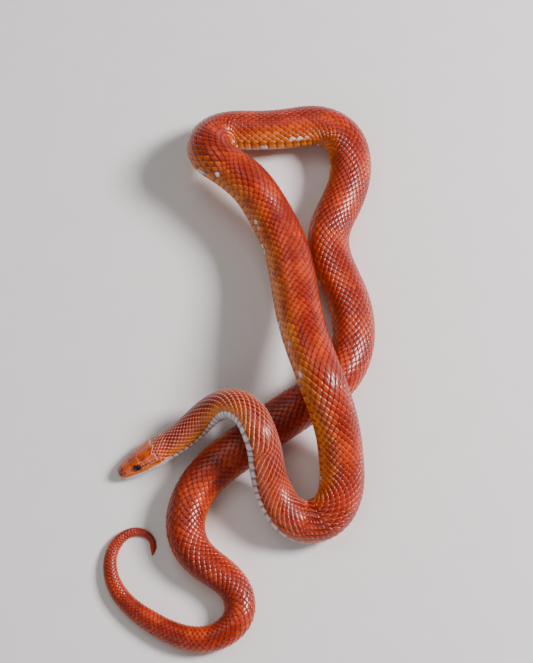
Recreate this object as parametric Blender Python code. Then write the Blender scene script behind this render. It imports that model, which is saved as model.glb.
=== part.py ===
"""Corn snake, life size, lying on a floor in loose loops, its neck draped over its own body.

The pose is drawn in the viewer's plane, where right is +X and up is away from the viewer, and then
dropped on the floor. Sizes are in millimetres and become metres when a mesh is made.
"""

import math
from dataclasses import dataclass

import bmesh
import bpy
import numpy as np
from mathutils import Matrix, Vector

MM = 0.001

# The viewer looks down on the floor along +Y
VIEW_TILT_DEG = 70.0
VIEW_DISTANCE = 850.0

# Where the middle of the finished model lies in the viewer's frame
CENTRE_X = -12.6
CENTRE_Y = -21.9

# Joints between neighbouring pieces, and how far a resting belly is pressed flat
GAP = 0.3
FLAT_DEPTH = 0.45

# Half width of the body at distances from the tip of the snout
GIRTH = (
    (0.0, 4.4),
    (12.0, 5.6),
    (22.0, 7.0),
    (33.0, 8.3),
    (60.0, 8.6),
    (100.0, 9.8),
    (150.0, 11.0),
    (190.0, 12.0),
    (300.0, 12.7),
    (460.0, 12.2),
    (530.0, 11.5),
    (640.0, 11.5),
    (680.0, 11.8),
    (725.0, 11.4),
    (780.0, 10.0),
    (822.0, 8.2),
    (840.0, 7.3),
    (910.0, 4.2),
    (968.0, 1.3),
)

# Section of the body: a loaf with a flat belly
SECTION_DEGREES = (0, 24, 48, 72, 95, 117, 139, 160)
SECTION_WIDTH = 1.03
BELLY_FROM = 0.72
BELLY_FLATNESS = 0.35
BEND_LIMIT = 0.80

# Belly scutes: each rises towards its free rear edge
SCUTE_PITCH = 5.6
SCUTE_SLOPE = 0.76
SCUTE_RISE = 0.45
SCUTE_FROM_DEG = 124.0
TAIL_SCUTE_PITCH = 4.6
TIP_LENGTH = 1.2

# Head
HEAD_LENGTH = 32.0
HEAD_SIDES = 32
HEAD_BLEND_FROM = 23.0
HEAD_SHAPE = (
    # distance from the snout, half width, top, bottom
    (0.0, 1.9, 0.9, -1.9),
    (0.7, 3.1, 2.1, -2.9),
    (2.0, 4.1, 3.0, -3.6),
    (4.5, 5.0, 3.9, -4.3),
    (8.0, 6.0, 4.7, -4.9),
    (12.0, 7.1, 5.5, -5.4),
    (16.0, 8.1, 6.0, -5.8),
    (20.0, 8.8, 6.4, -6.1),
    (24.0, 9.1, 6.8, -6.4),
    (28.0, 9.0, 7.2, -6.7),
    (32.0, 8.7, 8.1, -7.0),
)
HEAD_SQUARENESS = 2.6
HEAD_STATIONS = (
    *(0.0, 0.35, 0.9, 1.8, 3.0, 4.6, 6.4, 8.2, 10.2),
    *(12.4, 14.8, 17.2, 19.8, 22.6, 25.4, 28.2, 30.2),
)
MOUTH = ((-2.0, -1.5), (3.0, -1.7), (10.0, -2.0), (18.0, -2.5), (24.0, -2.5), (28.6, -1.7))
JAW_BACK = ((29.4, -4.5), (29.0, -14.0))
JAW_HALF_WIDTH = 14.0
FLOOR_BLOCK = 150.0

# Eyes: each is a flattened ball whose short axis points out along the side of the head
EYE_RADIUS = 2.1
EYE_FLATTENING = 0.78
EYE_AT = 10.7
EYE_HEIGHT = 1.6
EYE_SIDE = 5.75
EYE_TILT_DEG = 18.0
NOSTRIL_AT = 2.7
NOSTRIL_HEIGHT = 0.9
NOSTRIL_RADIUS = 0.42
NOSTRIL_DEPTH = 1.1

# Plates of the head, outlined by distance from the snout and degrees from the crown
PLATE_RISE = 0.30
PLATE_ROOT = 0.7
PLATE_GROOVE = 0.14
PLATE_BEVEL = 0.28
PLATE_BEVEL_SHARE = 0.22
PLATE_STEP = 1.9
FRONTAL_PLATE = (
    *((7.7, 22), (7.45, 0), (7.7, -22), (11.4, -19)),
    *((13.0, -16), (14.6, 0), (13.0, 16), (11.4, 19)),
)
PAIRED_PLATES = (
    # on top: internasal, prefrontal, supraocular, parietal
    ((1.55, 0.3), (1.5, 26), (1.5, 50), (4.0, 46), (3.8, 0.3)),
    ((3.9, 0.3), (4.1, 46), (4.5, 60), (7.5, 54), (7.75, 23), (7.4, 0.3)),
    ((7.8, 24), (7.6, 52), (8.6, 60), (10.6, 62), (12.4, 58), (13.4, 50), (13.0, 18), (11.4, 20)),
    ((14.7, 0.3), (13.2, 18), (13.6, 50), (15.0, 57), (18.4, 58.5), (21.3, 47), (23.8, 18), (22.9, 0.3)),
    # before the eye: nasal, loreal, preocular
    ((1.5, 54), (4.0, 50), (4.5, 85), (1.5, 85)),
    ((4.6, 63), (6.7, 60), (6.7, 84), (4.7, 85)),
    ((6.9, 58), (7.7, 56), (8.3, 80), (7.5, 85), (6.9, 84)),
    # behind the eye: two postoculars, four temporals
    ((12.9, 60), (14.7, 58), (14.8, 71), (13.3, 73)),
    ((13.3, 75), (14.9, 73), (15.0, 83), (13.3, 85)),
    ((15.0, 60), (18.4, 61), (18.7, 72), (15.1, 71)),
    ((15.1, 73), (18.7, 74), (18.8, 83), (15.2, 83)),
    ((18.8, 61), (21.6, 50), (22.6, 61), (22.3, 72), (19.0, 72)),
    ((19.0, 74), (22.3, 74), (22.5, 83), (19.1, 83)),
    # under the chin: two shields
    ((3.4, 179.6), (3.4, 156), (8.0, 152), (8.6, 179.6)),
    ((8.9, 179.6), (8.3, 152), (13.6, 156), (14.2, 179.6)),
)
SNOUT_CAP = (0.0, 0.35, 0.8, 1.25)
UPPER_LABIALS = (1.4, 3.9, 6.3, 8.7, 11.0, 13.6, 16.8, 20.2, 24.0)
LOWER_LABIALS = (1.6, 4.4, 7.2, 10.2, 13.4, 17.2, 21.2)
LABIAL_TOP_DEG = 86.0
LABIAL_UNDER_EYE_DEG = 10.0
LABIAL_EYE_REACH = 1.9
LOWER_LABIAL_DEPTH_DEG = 22.0


@dataclass(frozen=True)
class Stretch:
    """One length of the body, from the end of the one before it to its own last point.

    Attributes:
        name: name of the piece.
        points: right, up and lift of each point in the viewer's plane; lift is the height of the
            belly over the floor.
        lean: how far the back leans right and away for each unit that it faces up.
    """

    name: str
    points: tuple
    lean: tuple


SNOUT_TIP = (-82.5, -79.8, 0.0)
SNOUT_LEAN = (-0.28, 0.50)
STRETCHES = (
    Stretch(
        "neck",
        ((-61.8, -67.5, 0.8), (-54.0, -63.0, 1.5), (-47.8, -59.1, 2.6), (-41.3, -53.6, 5.0)),
        (-0.50, 0.60),
    ),
    Stretch("arch_rise", ((-31.6, -45.3, 11.3), (-21.2, -40.8, 18.9)), (-0.30, 1.35)),
    Stretch(
        "arch_fall",
        ((-10.4, -45.5, 23.5), (-4.8, -56.4, 24.1), (-1.6, -67.9, 20.7)),
        (2.30, 1.50),
    ),
    Stretch("fore_drop", ((0.0, -79.1, 13.4), (5.6, -93.8, 4.4)), (3.30, 0.50)),
    Stretch("lower_bend_left", ((12.7, -103.1, 0.8), (21.6, -106.7, 0.0)), (1.70, 0.20)),
    Stretch("lower_bend_right", ((33.8, -103.4, 0.0), (42.1, -86.6, 1.5)), (1.05, 0.15)),
    Stretch(
        "diagonal_rise",
        ((41.9, -73.6, 6.0), (40.6, -61.4, 13.0), (35.3, -40.0, 24.0)),
        (1.00, 0.25),
    ),
    Stretch(
        "diagonal_middle",
        ((28.6, -22.1, 25.6), (20.9, -0.3, 19.5), (16.5, 18.8, 13.0)),
        (1.00, 0.30),
    ),
    Stretch("diagonal_top", ((11.5, 44.5, 8.5), (2.0, 65.2, 9.0), (-12.2, 84.8, 13.0)), (0.85, 0.60)),
    Stretch(
        "upper_left_bend_high",
        ((-23.4, 92.8, 12.9), (-31.9, 100.1, 14.5), (-33.1, 104.6, 10.3)),
        (0.30, 1.20),
    ),
    Stretch("upper_left_bend_low", ((-29.4, 108.7, 5.0), (-22.1, 111.3, 0.8)), (0.05, 1.50)),
    Stretch("top_run", ((-6.4, 111.8, 0.0), (13.2, 113.3, 0.0)), (0.0, 1.40)),
    Stretch(
        "upper_right_bend",
        ((31.5, 114.5, 0.0), (43.1, 107.5, 0.0), (47.2, 93.8, 0.0)),
        (0.85, 0.80),
    ),
    Stretch(
        "right_run_upper",
        ((45.6, 81.5, 0.0), (40.7, 69.5, 0.0), (35.6, 58.0, 0.0), (34.8, 47.0, 0.0)),
        (0.40, 0.0),
    ),
    Stretch("right_run_lower", ((38.8, 34.0, 0.0), (45.5, 19.0, 0.0), (48.8, 4.0, 0.0)), (0.35, -0.05)),
    Stretch(
        "underpass_bend",
        ((47.9, -9.8, 0.0), (41.5, -23.7, 0.0), (29.3, -34.9, 0.0)),
        (0.30, -0.15),
    ),
    Stretch("underpass", ((12.6, -46.2, 0.0), (-0.3, -55.0, 0.0), (-12.6, -64.1, 0.0)), (0.10, -0.10)),
    Stretch(
        "hind_curve_high",
        ((-24.9, -73.1, 0.0), (-35.3, -83.2, 0.0), (-43.0, -96.0, 0.0)),
        (0.0, 0.0),
    ),
    Stretch("hind_curve_low", ((-45.4, -111.2, 0.0), (-39.5, -125.0, 0.0)), (0.0, 0.0)),
    Stretch("hind_turn", ((-27.2, -134.7, 0.0), (-17.1, -144.8, 0.0)), (0.0, 0.0)),
    Stretch("tail_base", ((-15.0, -158.2, 0.0), (-23.8, -169.0, 0.0)), (0.0, 0.0)),
    Stretch(
        "tail_middle",
        ((-38.4, -172.6, 0.0), (-54.0, -168.3, 0.0), (-68.0, -160.3, 0.0)),
        (0.0, 0.0),
    ),
    Stretch(
        "tail_hook",
        ((-79.8, -150.4, 0.0), (-86.8, -138.0, 0.0), (-87.2, -125.0, 0.0)),
        (0.0, 0.0),
    ),
    Stretch(
        "tail_tip",
        ((-80.9, -115.0, 0.0), (-70.8, -111.8, 0.0), (-63.4, -117.0, 0.0), (-64.1, -125.7, 0.0)),
        (0.0, 0.0),
    ),
)

# Edges sharper than this are drawn crisp
SHARP_DEG = 35.0
PLATE_SHARP_DEG = 18.0

# Materials: name, colour, roughness
SKIN = ("snake_skin", (0.46, 0.055, 0.012), 0.42)
SKIN_FLANK = ("snake_skin_flank", (0.55, 0.13, 0.018), 0.42)
JAW_SKIN = ("jaw_skin", (0.66, 0.46, 0.34), 0.42)
EYE_SURFACE = ("eye_surface", (0.020, 0.004, 0.003), 0.06)


def natural_spline(knots, values, at):
    """Natural cubic spline through values at knots, read at the given parameters."""
    count = len(knots)
    step = np.diff(knots)
    slope = np.diff(values, axis=0) / step[:, None]
    matrix = np.eye(count)
    right = np.zeros((count, values.shape[1]))
    for i in range(1, count - 1):
        matrix[i, i - 1] = step[i - 1]
        matrix[i, i] = 2.0 * (step[i - 1] + step[i])
        matrix[i, i + 1] = step[i]
        right[i] = 6.0 * (slope[i] - slope[i - 1])
    bend = np.linalg.solve(matrix, right)
    index = np.clip(np.searchsorted(knots, at, side="right") - 1, 0, count - 2)
    h = step[index][:, None]
    a = (knots[index + 1] - at)[:, None] / h
    b = 1.0 - a
    cubic = ((a**3 - a) * bend[index] + (b**3 - b) * bend[index + 1]) * h**2 / 6.0
    return a * values[index] + b * values[index + 1] + cubic


def smoothed(values, width):
    """Values blurred along their first axis by a Gaussian of the given width, ends kept."""
    reach = int(4 * width)
    weights = np.exp(-0.5 * (np.arange(-reach, reach + 1) / width) ** 2)
    weights /= weights.sum()
    head = 2.0 * values[0] - values[reach:0:-1]
    tail = 2.0 * values[-1] - values[-2 : -reach - 2 : -1]
    padded = np.concatenate([head, values, tail])
    return np.stack([np.convolve(column, weights, mode="valid") for column in padded.T], axis=1)


def unit(vectors):
    """Vectors scaled to length one."""
    return vectors / np.linalg.norm(vectors, axis=-1, keepdims=True)


def drop_on_floor(right, up, height):
    """Floor position of points seen at right and up in the viewer's plane and lying at a height."""
    sine = math.sin(math.radians(VIEW_TILT_DEG))
    cosine = math.cos(math.radians(VIEW_TILT_DEG))
    nearer = up * (1.0 - height * sine / VIEW_DISTANCE) - height * cosine
    y = nearer / (sine - up * cosine / VIEW_DISTANCE)
    x = right * (1.0 + (y * cosine - height * sine) / VIEW_DISTANCE)
    return x, y


def section(radius, degrees):
    """Side and up offsets of the body's outline, at angles from the back down to the belly."""
    angle = np.radians(degrees)
    side = SECTION_WIDTH * radius * np.sin(angle)
    up = radius * np.cos(angle)
    floor = -BELLY_FROM * radius
    return side, np.where(up < floor, floor + (up - floor) * BELLY_FLATNESS, up)


class Route:
    """The smooth axis of the animal with its frame and girth, read by distance from the snout."""

    SAMPLES = 2400
    STEP = 1.0
    SMOOTH_MM = 3.5

    def __init__(self):
        rows = [SNOUT_TIP] + [point for stretch in STRETCHES for point in stretch.points]
        rows = np.array(rows)
        plan = np.linalg.norm(np.diff(rows[:, :2], axis=0), axis=1)
        knots = np.concatenate([[0.0], np.cumsum(plan)])
        at = np.linspace(0.0, knots[-1], self.SAMPLES)
        right, up, lift = natural_spline(knots, rows, at).T
        lift = np.maximum(lift, 0.0)
        last = np.cumsum([len(stretch.points) for stretch in STRETCHES])
        ends = knots[last]
        starts = np.concatenate([[0.0], ends[:-1]])
        lean_at = np.concatenate([[0.0], 0.5 * (starts + ends), [knots[-1]]])
        lean = np.array([SNOUT_LEAN] + [stretch.lean for stretch in STRETCHES] + [STRETCHES[-1].lean])
        lean_right = np.interp(at, lean_at, lean[:, 0])
        lean_away = np.interp(at, lean_at, lean[:, 1])
        raw_back = np.stack([lean_right, lean_away, np.ones(len(at))], axis=1)
        degrees = np.linspace(-180.0, 180.0, 73)
        height = np.full(len(at), 10.0) + lift
        for _ in range(4):
            x, y = drop_on_floor(right, up, height)
            points = np.stack([x, y, height], axis=1)
            travelled = self.distance(points)
            radius = self.girth(travelled)
            tangent = unit(np.gradient(points, axis=0))
            back, left = self.frame(tangent, raw_back)
            side, rise = section(radius[:, None], degrees[None, :])
            drop = (side * left[:, 2:3] + rise * back[:, 2:3]).min(axis=1)
            height = lift - FLAT_DEPTH - drop
        spacing = travelled[-1] / len(at)
        points = smoothed(points, self.SMOOTH_MM / spacing)
        raw_back = smoothed(raw_back, 3.0 * self.SMOOTH_MM / spacing)
        travelled = self.distance(points)
        self.length = travelled[-1]
        self.at = np.linspace(0.0, self.length, int(self.length / self.STEP) + 1)
        self.points = np.stack([np.interp(self.at, travelled, column) for column in points.T], axis=1)
        self.points[:, 0] -= CENTRE_X
        self.points[:, 1] -= CENTRE_Y
        raw_back = np.stack([np.interp(self.at, travelled, column) for column in raw_back.T], axis=1)
        self.tangent = unit(np.gradient(self.points, axis=0))
        self.back, self.left = self.frame(self.tangent, raw_back)
        self.bend = smoothed(np.gradient(self.tangent, self.at, axis=0), 2.0)
        self.ends = np.interp(ends, at, travelled)

    @staticmethod
    def distance(points):
        """Distance travelled along points."""
        return np.concatenate([[0.0], np.cumsum(np.linalg.norm(np.diff(points, axis=0), axis=1))])

    @staticmethod
    def frame(tangent, raw_back):
        """Back and left directions, square to the tangent that runs from head to tail."""
        back = unit(raw_back)
        back = unit(back - np.sum(back * tangent, axis=1, keepdims=True) * tangent)
        return back, np.cross(tangent, back)

    @staticmethod
    def girth(distance):
        """Half width of the body at a distance from the snout."""
        table = np.array(GIRTH)
        fine = np.linspace(table[0, 0], table[-1, 0], 400)
        eased = smoothed(np.interp(fine, table[:, 0], table[:, 1])[:, None], 5.0)[:, 0]
        return np.interp(distance, fine, eased)

    def read(self, values, distance):
        """One of the route's rows of vectors at a distance from the snout."""
        return np.array([np.interp(distance, self.at, column) for column in values.T])

    def ring(self, distance, degrees, rise=0.0, scale=1.0):
        """Outline of the body square to the axis, as points, at signed angles from the back."""
        centre = self.read(self.points, distance)
        tangent = unit(self.read(self.tangent, distance))
        back = self.read(self.back, distance)
        back = unit(back - np.dot(back, tangent) * tangent)
        left = np.cross(tangent, back)
        side, up = section(float(self.girth(distance)) * scale, np.asarray(degrees, dtype=float))
        reach = np.hypot(side, up)
        belly = np.abs(degrees) >= SCUTE_FROM_DEG
        grow = 1.0 + np.where(belly, rise, 0.0) / reach
        offset = np.outer(side * grow, left) + np.outer(up * grow, back)
        bend = self.read(self.bend, distance)
        tightness = np.linalg.norm(bend)
        if tightness > 1e-6:
            inward = bend / tightness
            depth = offset @ inward
            limit = BEND_LIMIT / tightness
            extra = np.maximum(depth - limit, 0.0) * 0.85
            offset -= np.outer(extra, inward)
        ring = centre + offset
        ring[:, 2] = np.maximum(ring[:, 2], 0.0)
        return ring


def signed_section_degrees():
    """The section's angles once round, from the back down the left side and up the right one."""
    left = list(SECTION_DEGREES)
    right = [-angle for angle in reversed(SECTION_DEGREES[1:])]
    return np.array(left + [180] + right, dtype=float)


def make_object(name, mesh, surface, sharp_deg=SHARP_DEG):
    """Object with its own material, smooth where its faces meet at a low angle."""
    title, colour, roughness = surface
    mesh.name = name
    obj = bpy.data.objects.new(name, mesh)
    bpy.context.scene.collection.objects.link(obj)
    material = bpy.data.materials.new(f"{name}_{title}")
    material.use_nodes = True
    shader = material.node_tree.nodes["Principled BSDF"]
    shader.inputs["Base Color"].default_value = (*colour, 1.0)
    shader.inputs["Roughness"].default_value = roughness
    shader.inputs["Metallic"].default_value = 0.0
    mesh.materials.clear()
    mesh.materials.append(material)
    mesh.shade_smooth()
    mesh.set_sharp_from_angle(angle=math.radians(sharp_deg))
    return obj


def loft(rings, name):
    """Closed mesh through rings of equally many points in millimetres, with fanned ends."""
    bm = bmesh.new()
    loops = [[bm.verts.new(Vector(point) * MM) for point in ring] for ring in rings]
    count = len(loops[0])
    for before, after in zip(loops, loops[1:]):
        for i in range(count):
            j = (i + 1) % count
            bm.faces.new((before[i], before[j], after[j], after[i]))
    for loop, flip in ((loops[0], True), (loops[-1], False)):
        middle = bm.verts.new(sum((vert.co for vert in loop), Vector()) / count)
        for i in range(count):
            j = (i + 1) % count
            bm.faces.new((middle, loop[j], loop[i]) if flip else (middle, loop[i], loop[j]))
    bmesh.ops.recalc_face_normals(bm, faces=bm.faces)
    bmesh.ops.triangulate(bm, faces=bm.faces)
    mesh = bpy.data.meshes.new(name)
    bm.to_mesh(mesh)
    bm.free()
    return mesh


def scute_edges(route):
    """Distances at which one belly scute ends and the next begins, from the head to the tail's tip."""
    vent = route.ends[[stretch.name for stretch in STRETCHES].index("hind_turn")]
    edges = [HEAD_LENGTH]
    while True:
        pitch = SCUTE_PITCH if edges[-1] < vent else TAIL_SCUTE_PITCH
        if edges[-1] + pitch > route.length - TIP_LENGTH:
            break
        edges.append(edges[-1] + pitch)
    return np.array(edges)


def make_body(route):
    """Every length of the body behind the head, each ending at the rear edge of a scute."""
    edges = scute_edges(route)
    degrees = signed_section_degrees()
    first = 0
    for stretch, end in zip(STRETCHES, route.ends):
        final = stretch is STRETCHES[-1]
        last = len(edges) - 1 if final else int(np.argmin(np.abs(edges - end)))
        rings = []
        for k in range(first, last):
            front = edges[k] + (GAP / 2 if k == first else 0.0)
            rear = edges[k] + SCUTE_SLOPE * (edges[k + 1] - edges[k])
            if k == last - 1 and not final:
                rear = edges[k + 1] - GAP / 2
            slim = min(1.0, float(route.girth(edges[k])) / 6.0)
            rings.append(route.ring(front, degrees))
            rings.append(route.ring(rear, degrees, rise=SCUTE_RISE * slim))
        if final:
            rings.append(route.ring(route.length - TIP_LENGTH / 2, degrees, scale=0.8))
            rings.append(route.ring(route.length, degrees, scale=0.35))
        surface = SKIN if first < len(edges) / 2 else SKIN_FLANK
        make_object(stretch.name, loft(rings, stretch.name), surface)
        first = last


def head_size(distance):
    """Half width, top and bottom of the head at a distance from the snout."""
    table = np.array(HEAD_SHAPE)
    return [float(np.interp(distance, table[:, 0], table[:, column])) for column in (1, 2, 3)]


def mouth_degrees(distance):
    """Angle from the crown at which the line of the mouth meets the side of the head."""
    line = np.array(MOUTH)
    height = float(np.interp(distance, line[:, 0], line[:, 1]))
    bottom = head_size(distance)[2]
    return 90.0 + math.degrees(math.asin((height / bottom) ** (HEAD_SQUARENESS / 2.0)))


def head_point(route, distance, degrees, out=0.0):
    """Point on the head's surface in its own frame: back along X, right along Y, up along Z."""
    width, top, bottom = head_size(distance)
    angle = math.radians(degrees)
    power = 2.0 / HEAD_SQUARENESS
    side = width * math.copysign(abs(math.sin(angle)) ** power, math.sin(angle))
    height = top if math.cos(angle) > 0.0 else -bottom
    up = height * math.copysign(abs(math.cos(angle)) ** power, math.cos(angle))
    blend = min(1.0, max(0.0, (distance - HEAD_BLEND_FROM) / (HEAD_LENGTH - HEAD_BLEND_FROM)))
    blend = blend * blend * (3.0 - 2.0 * blend)
    body_side, body_up = section(float(route.girth(HEAD_LENGTH)), np.array([degrees]))
    side = side * (1.0 - blend) + float(body_side[0]) * blend
    up = up * (1.0 - blend) + float(body_up[0]) * blend
    reach = math.hypot(side, up)
    grow = 1.0 + out / reach
    return Vector((distance, -side * grow, up * grow))


def head_frame(route):
    """Placement of the head's own frame: its X runs back along the axis from the snout."""
    joint = route.read(route.points, HEAD_LENGTH)
    tangent = unit(route.read(route.tangent, HEAD_LENGTH))
    back = route.read(route.back, HEAD_LENGTH)
    back = unit(back - np.dot(back, tangent) * tangent)
    right = np.cross(back, tangent)
    frame = Matrix((tangent, right, back)).transposed().to_4x4()
    frame.translation = Vector(joint - tangent * HEAD_LENGTH) * MM
    return frame


def head_loft(route):
    """The whole head with its jaw, in its own frame."""
    degrees = np.linspace(0.0, 360.0, HEAD_SIDES, endpoint=False)
    degrees = (degrees + 180.0) % 360.0 - 180.0
    distances = (*HEAD_STATIONS, HEAD_LENGTH - GAP / 2)
    rings = [[head_point(route, distance, angle) for angle in degrees] for distance in distances]
    return loft(rings, "head_core")


def plate(route, outline, name):
    """Raised plate on the head: bevelled rim, slightly domed top and a root sunk in the head."""
    corners = np.array(outline, dtype=float)
    border = []
    for start, end in zip(corners, np.roll(corners, -1, axis=0)):
        run = (head_point(route, *end) - head_point(route, *start)).length
        count = max(1, round(run / PLATE_STEP))
        border += [start + (end - start) * k / count for k in range(count)]
    middle = np.mean(border, axis=0)
    heart = head_point(route, *middle)
    reach = np.mean([(head_point(route, *point) - heart).length for point in border])
    bevel = min(PLATE_BEVEL, PLATE_BEVEL_SHARE * reach)

    def ring(out, inset):
        points = [head_point(route, *point, out=out) for point in border]
        return [point + (heart - point).normalized() * inset for point in points]

    bm = bmesh.new()
    rows = [
        ring(-PLATE_ROOT, PLATE_GROOVE + bevel),
        ring(PLATE_RISE * 0.35, PLATE_GROOVE),
        ring(PLATE_RISE, PLATE_GROOVE + bevel),
    ]
    loops = [[bm.verts.new(point * MM) for point in row] for row in rows]
    count = len(border)
    for before, after in zip(loops, loops[1:]):
        for i in range(count):
            j = (i + 1) % count
            bm.faces.new((before[i], before[j], after[j], after[i]))
    for loop, out in ((loops[0], -PLATE_ROOT), (loops[-1], PLATE_RISE * 1.15)):
        hub = bm.verts.new(head_point(route, *middle, out=out) * MM)
        for i in range(count):
            bm.faces.new((hub, loop[i], loop[(i + 1) % count]))
    bmesh.ops.recalc_face_normals(bm, faces=bm.faces)
    bmesh.ops.triangulate(bm, faces=bm.faces)
    mesh = bpy.data.meshes.new(name)
    bm.to_mesh(mesh)
    bm.free()
    return mesh


def labial_top(distance):
    """Angle from the crown of the upper edge of the upper labials, drawn down under the eye."""
    off = (distance - EYE_AT) / LABIAL_EYE_REACH
    return LABIAL_TOP_DEG + LABIAL_UNDER_EYE_DEG * math.exp(-off * off)


def labial_outlines():
    """Outlines of the plates along the upper and the lower lip of one side."""
    outlines = []
    for front, rear in zip(UPPER_LABIALS, UPPER_LABIALS[1:]):
        upper = [(at, labial_top(at)) for at in (front, rear)]
        lower = [(at, mouth_degrees(at)) for at in (rear, front)]
        outlines.append((*upper, *lower))
    for front, rear in zip(LOWER_LABIALS, LOWER_LABIALS[1:]):
        upper = [(at, mouth_degrees(at)) for at in (front, rear)]
        lower = [(at, mouth_degrees(at) + LOWER_LABIAL_DEPTH_DEG) for at in (rear, front)]
        outlines.append((*upper, *lower))
    return outlines


def snout_cap(route):
    """Raised plate round the tip of the snout and the chin, its root sunk in the head."""
    degrees = np.linspace(-180.0, 180.0, HEAD_SIDES, endpoint=False)
    forward = Vector((PLATE_RISE, 0.0, 0.0))
    rings = [[head_point(route, distance, angle, out=PLATE_RISE) - forward for angle in degrees]
             for distance in SNOUT_CAP]
    rings.append([head_point(route, SNOUT_CAP[-1], angle, out=PLATE_RISE * 0.35) for angle in degrees])
    rings.append([head_point(route, SNOUT_CAP[-1], angle, out=-PLATE_ROOT) for angle in degrees])
    return loft(rings, "snout_cap")


def head_plates(route):
    """Every plate of the head and the jaw, as separate closed meshes."""
    outlines = [FRONTAL_PLATE]
    for outline in (*PAIRED_PLATES, *labial_outlines()):
        outlines.append(outline)
        outlines.append(tuple((at, -degrees) for at, degrees in reversed(outline)))
    plates = [plate(route, outline, f"plate_{i}") for i, outline in enumerate(outlines)]
    return [snout_cap(route)] + plates


def prism(outline, half_width, name):
    """Closed mesh of a side outline, in back and up, carried across to both sides."""
    bm = bmesh.new()
    near = [bm.verts.new(Vector((x, -half_width, z)) * MM) for x, z in outline]
    face = bm.faces.new(near)
    moved = bmesh.ops.extrude_face_region(bm, geom=[face])["geom"]
    far = [item for item in moved if isinstance(item, bmesh.types.BMVert)]
    bmesh.ops.translate(bm, verts=far, vec=Vector((0.0, 2.0 * half_width * MM, 0.0)))
    bmesh.ops.recalc_face_normals(bm, faces=bm.faces)
    mesh = bpy.data.meshes.new(name)
    bm.to_mesh(mesh)
    bm.free()
    return mesh


def eyeball(radius, side, name):
    """Closed flattened ball at the eye's place in the head's frame, grown by its radius."""
    bm = bmesh.new()
    bmesh.ops.create_uvsphere(bm, u_segments=16, v_segments=9, radius=radius * MM)
    depth = (radius - EYE_RADIUS * (1.0 - EYE_FLATTENING)) / radius
    bmesh.ops.scale(bm, verts=bm.verts, vec=(1.0, 1.0, depth))
    turn = math.radians(-side * (90.0 - EYE_TILT_DEG))
    bmesh.ops.rotate(bm, verts=bm.verts, matrix=Matrix.Rotation(turn, 3, "X"))
    centre = Vector((EYE_AT, side * EYE_SIDE, EYE_HEIGHT))
    bmesh.ops.translate(bm, verts=bm.verts, vec=centre * MM)
    bmesh.ops.triangulate(bm, faces=bm.faces)
    mesh = bpy.data.meshes.new(name)
    bm.to_mesh(mesh)
    bm.free()
    return mesh


def nostril_cutter(side, name):
    """Tapered plug that leaves a nostril when it is cut out."""
    bm = bmesh.new()
    narrow = NOSTRIL_RADIUS * 0.7 * MM
    wide = NOSTRIL_RADIUS * 1.15 * MM
    depth = 2.0 * NOSTRIL_DEPTH * MM
    bmesh.ops.create_cone(bm, cap_ends=True, segments=10, radius1=narrow, radius2=wide, depth=depth)
    turn = Matrix.Rotation(math.radians(-90.0 * side), 3, "X")
    bmesh.ops.rotate(bm, verts=bm.verts, matrix=turn)
    centre = Vector((NOSTRIL_AT, side * head_size(NOSTRIL_AT)[0], NOSTRIL_HEIGHT))
    bmesh.ops.translate(bm, verts=bm.verts, vec=centre * MM)
    mesh = bpy.data.meshes.new(name)
    bm.to_mesh(mesh)
    bm.free()
    return mesh


def combine(mesh, tools, operation):
    """Mesh after one Boolean with a collection of tool meshes."""
    target = bpy.data.objects.new("combine_target", mesh)
    bpy.context.scene.collection.objects.link(target)
    group = bpy.data.collections.new("combine_tools")
    bpy.context.scene.collection.children.link(group)
    for i, tool in enumerate(tools):
        group.objects.link(bpy.data.objects.new(f"combine_tool_{i}", tool))
    modifier = target.modifiers.new("combine", "BOOLEAN")
    modifier.operation = operation
    modifier.operand_type = "COLLECTION"
    modifier.collection = group
    modifier.solver = "EXACT"
    bpy.context.view_layer.update()
    evaluated = target.evaluated_get(bpy.context.evaluated_depsgraph_get())
    result = bpy.data.meshes.new_from_object(evaluated)
    for obj in list(group.objects):
        bpy.data.objects.remove(obj, do_unlink=True)
    bpy.data.collections.remove(group)
    bpy.data.objects.remove(target, do_unlink=True)
    return result


def largest_body(mesh):
    """Mesh with only its largest closed surface kept."""
    bm = bmesh.new()
    bm.from_mesh(mesh)
    bmesh.ops.triangulate(bm, faces=bm.faces)
    islands = []
    unseen = set(bm.faces)
    while unseen:
        island = {unseen.pop()}
        edge_of_island = list(island)
        while edge_of_island:
            face = edge_of_island.pop()
            for edge in face.edges:
                for other in edge.link_faces:
                    if other in unseen:
                        unseen.discard(other)
                        island.add(other)
                        edge_of_island.append(other)
        islands.append(island)
    islands.sort(key=lambda island: sum(face.calc_area() for face in island))
    loose = [face for island in islands[:-1] for face in island]
    bmesh.ops.delete(bm, geom=loose, context="FACES")
    bm.to_mesh(mesh)
    bm.free()
    return mesh


def place(mesh, frame):
    """Mesh carried into the floor's frame, its underside cut flat at the floor."""
    mesh.transform(frame)
    reach = FLOOR_BLOCK
    block = prism(((-reach, -reach), (reach, -reach), (reach, 0.0), (-reach, 0.0)), reach, "floor")
    return combine(mesh, [block], "DIFFERENCE")


def jaw_outline(inset):
    """Side outline of the space under the mouth, drawn in by an inset."""
    lip = [(x, z - inset) for x, z in MOUTH]
    back = [(x - inset, z) for x, z in JAW_BACK]
    corner = (MOUTH[-1][0] - inset, MOUTH[-1][1] - inset)
    return lip[:-1] + [corner] + back + [(lip[0][0], JAW_BACK[-1][1])]


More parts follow.
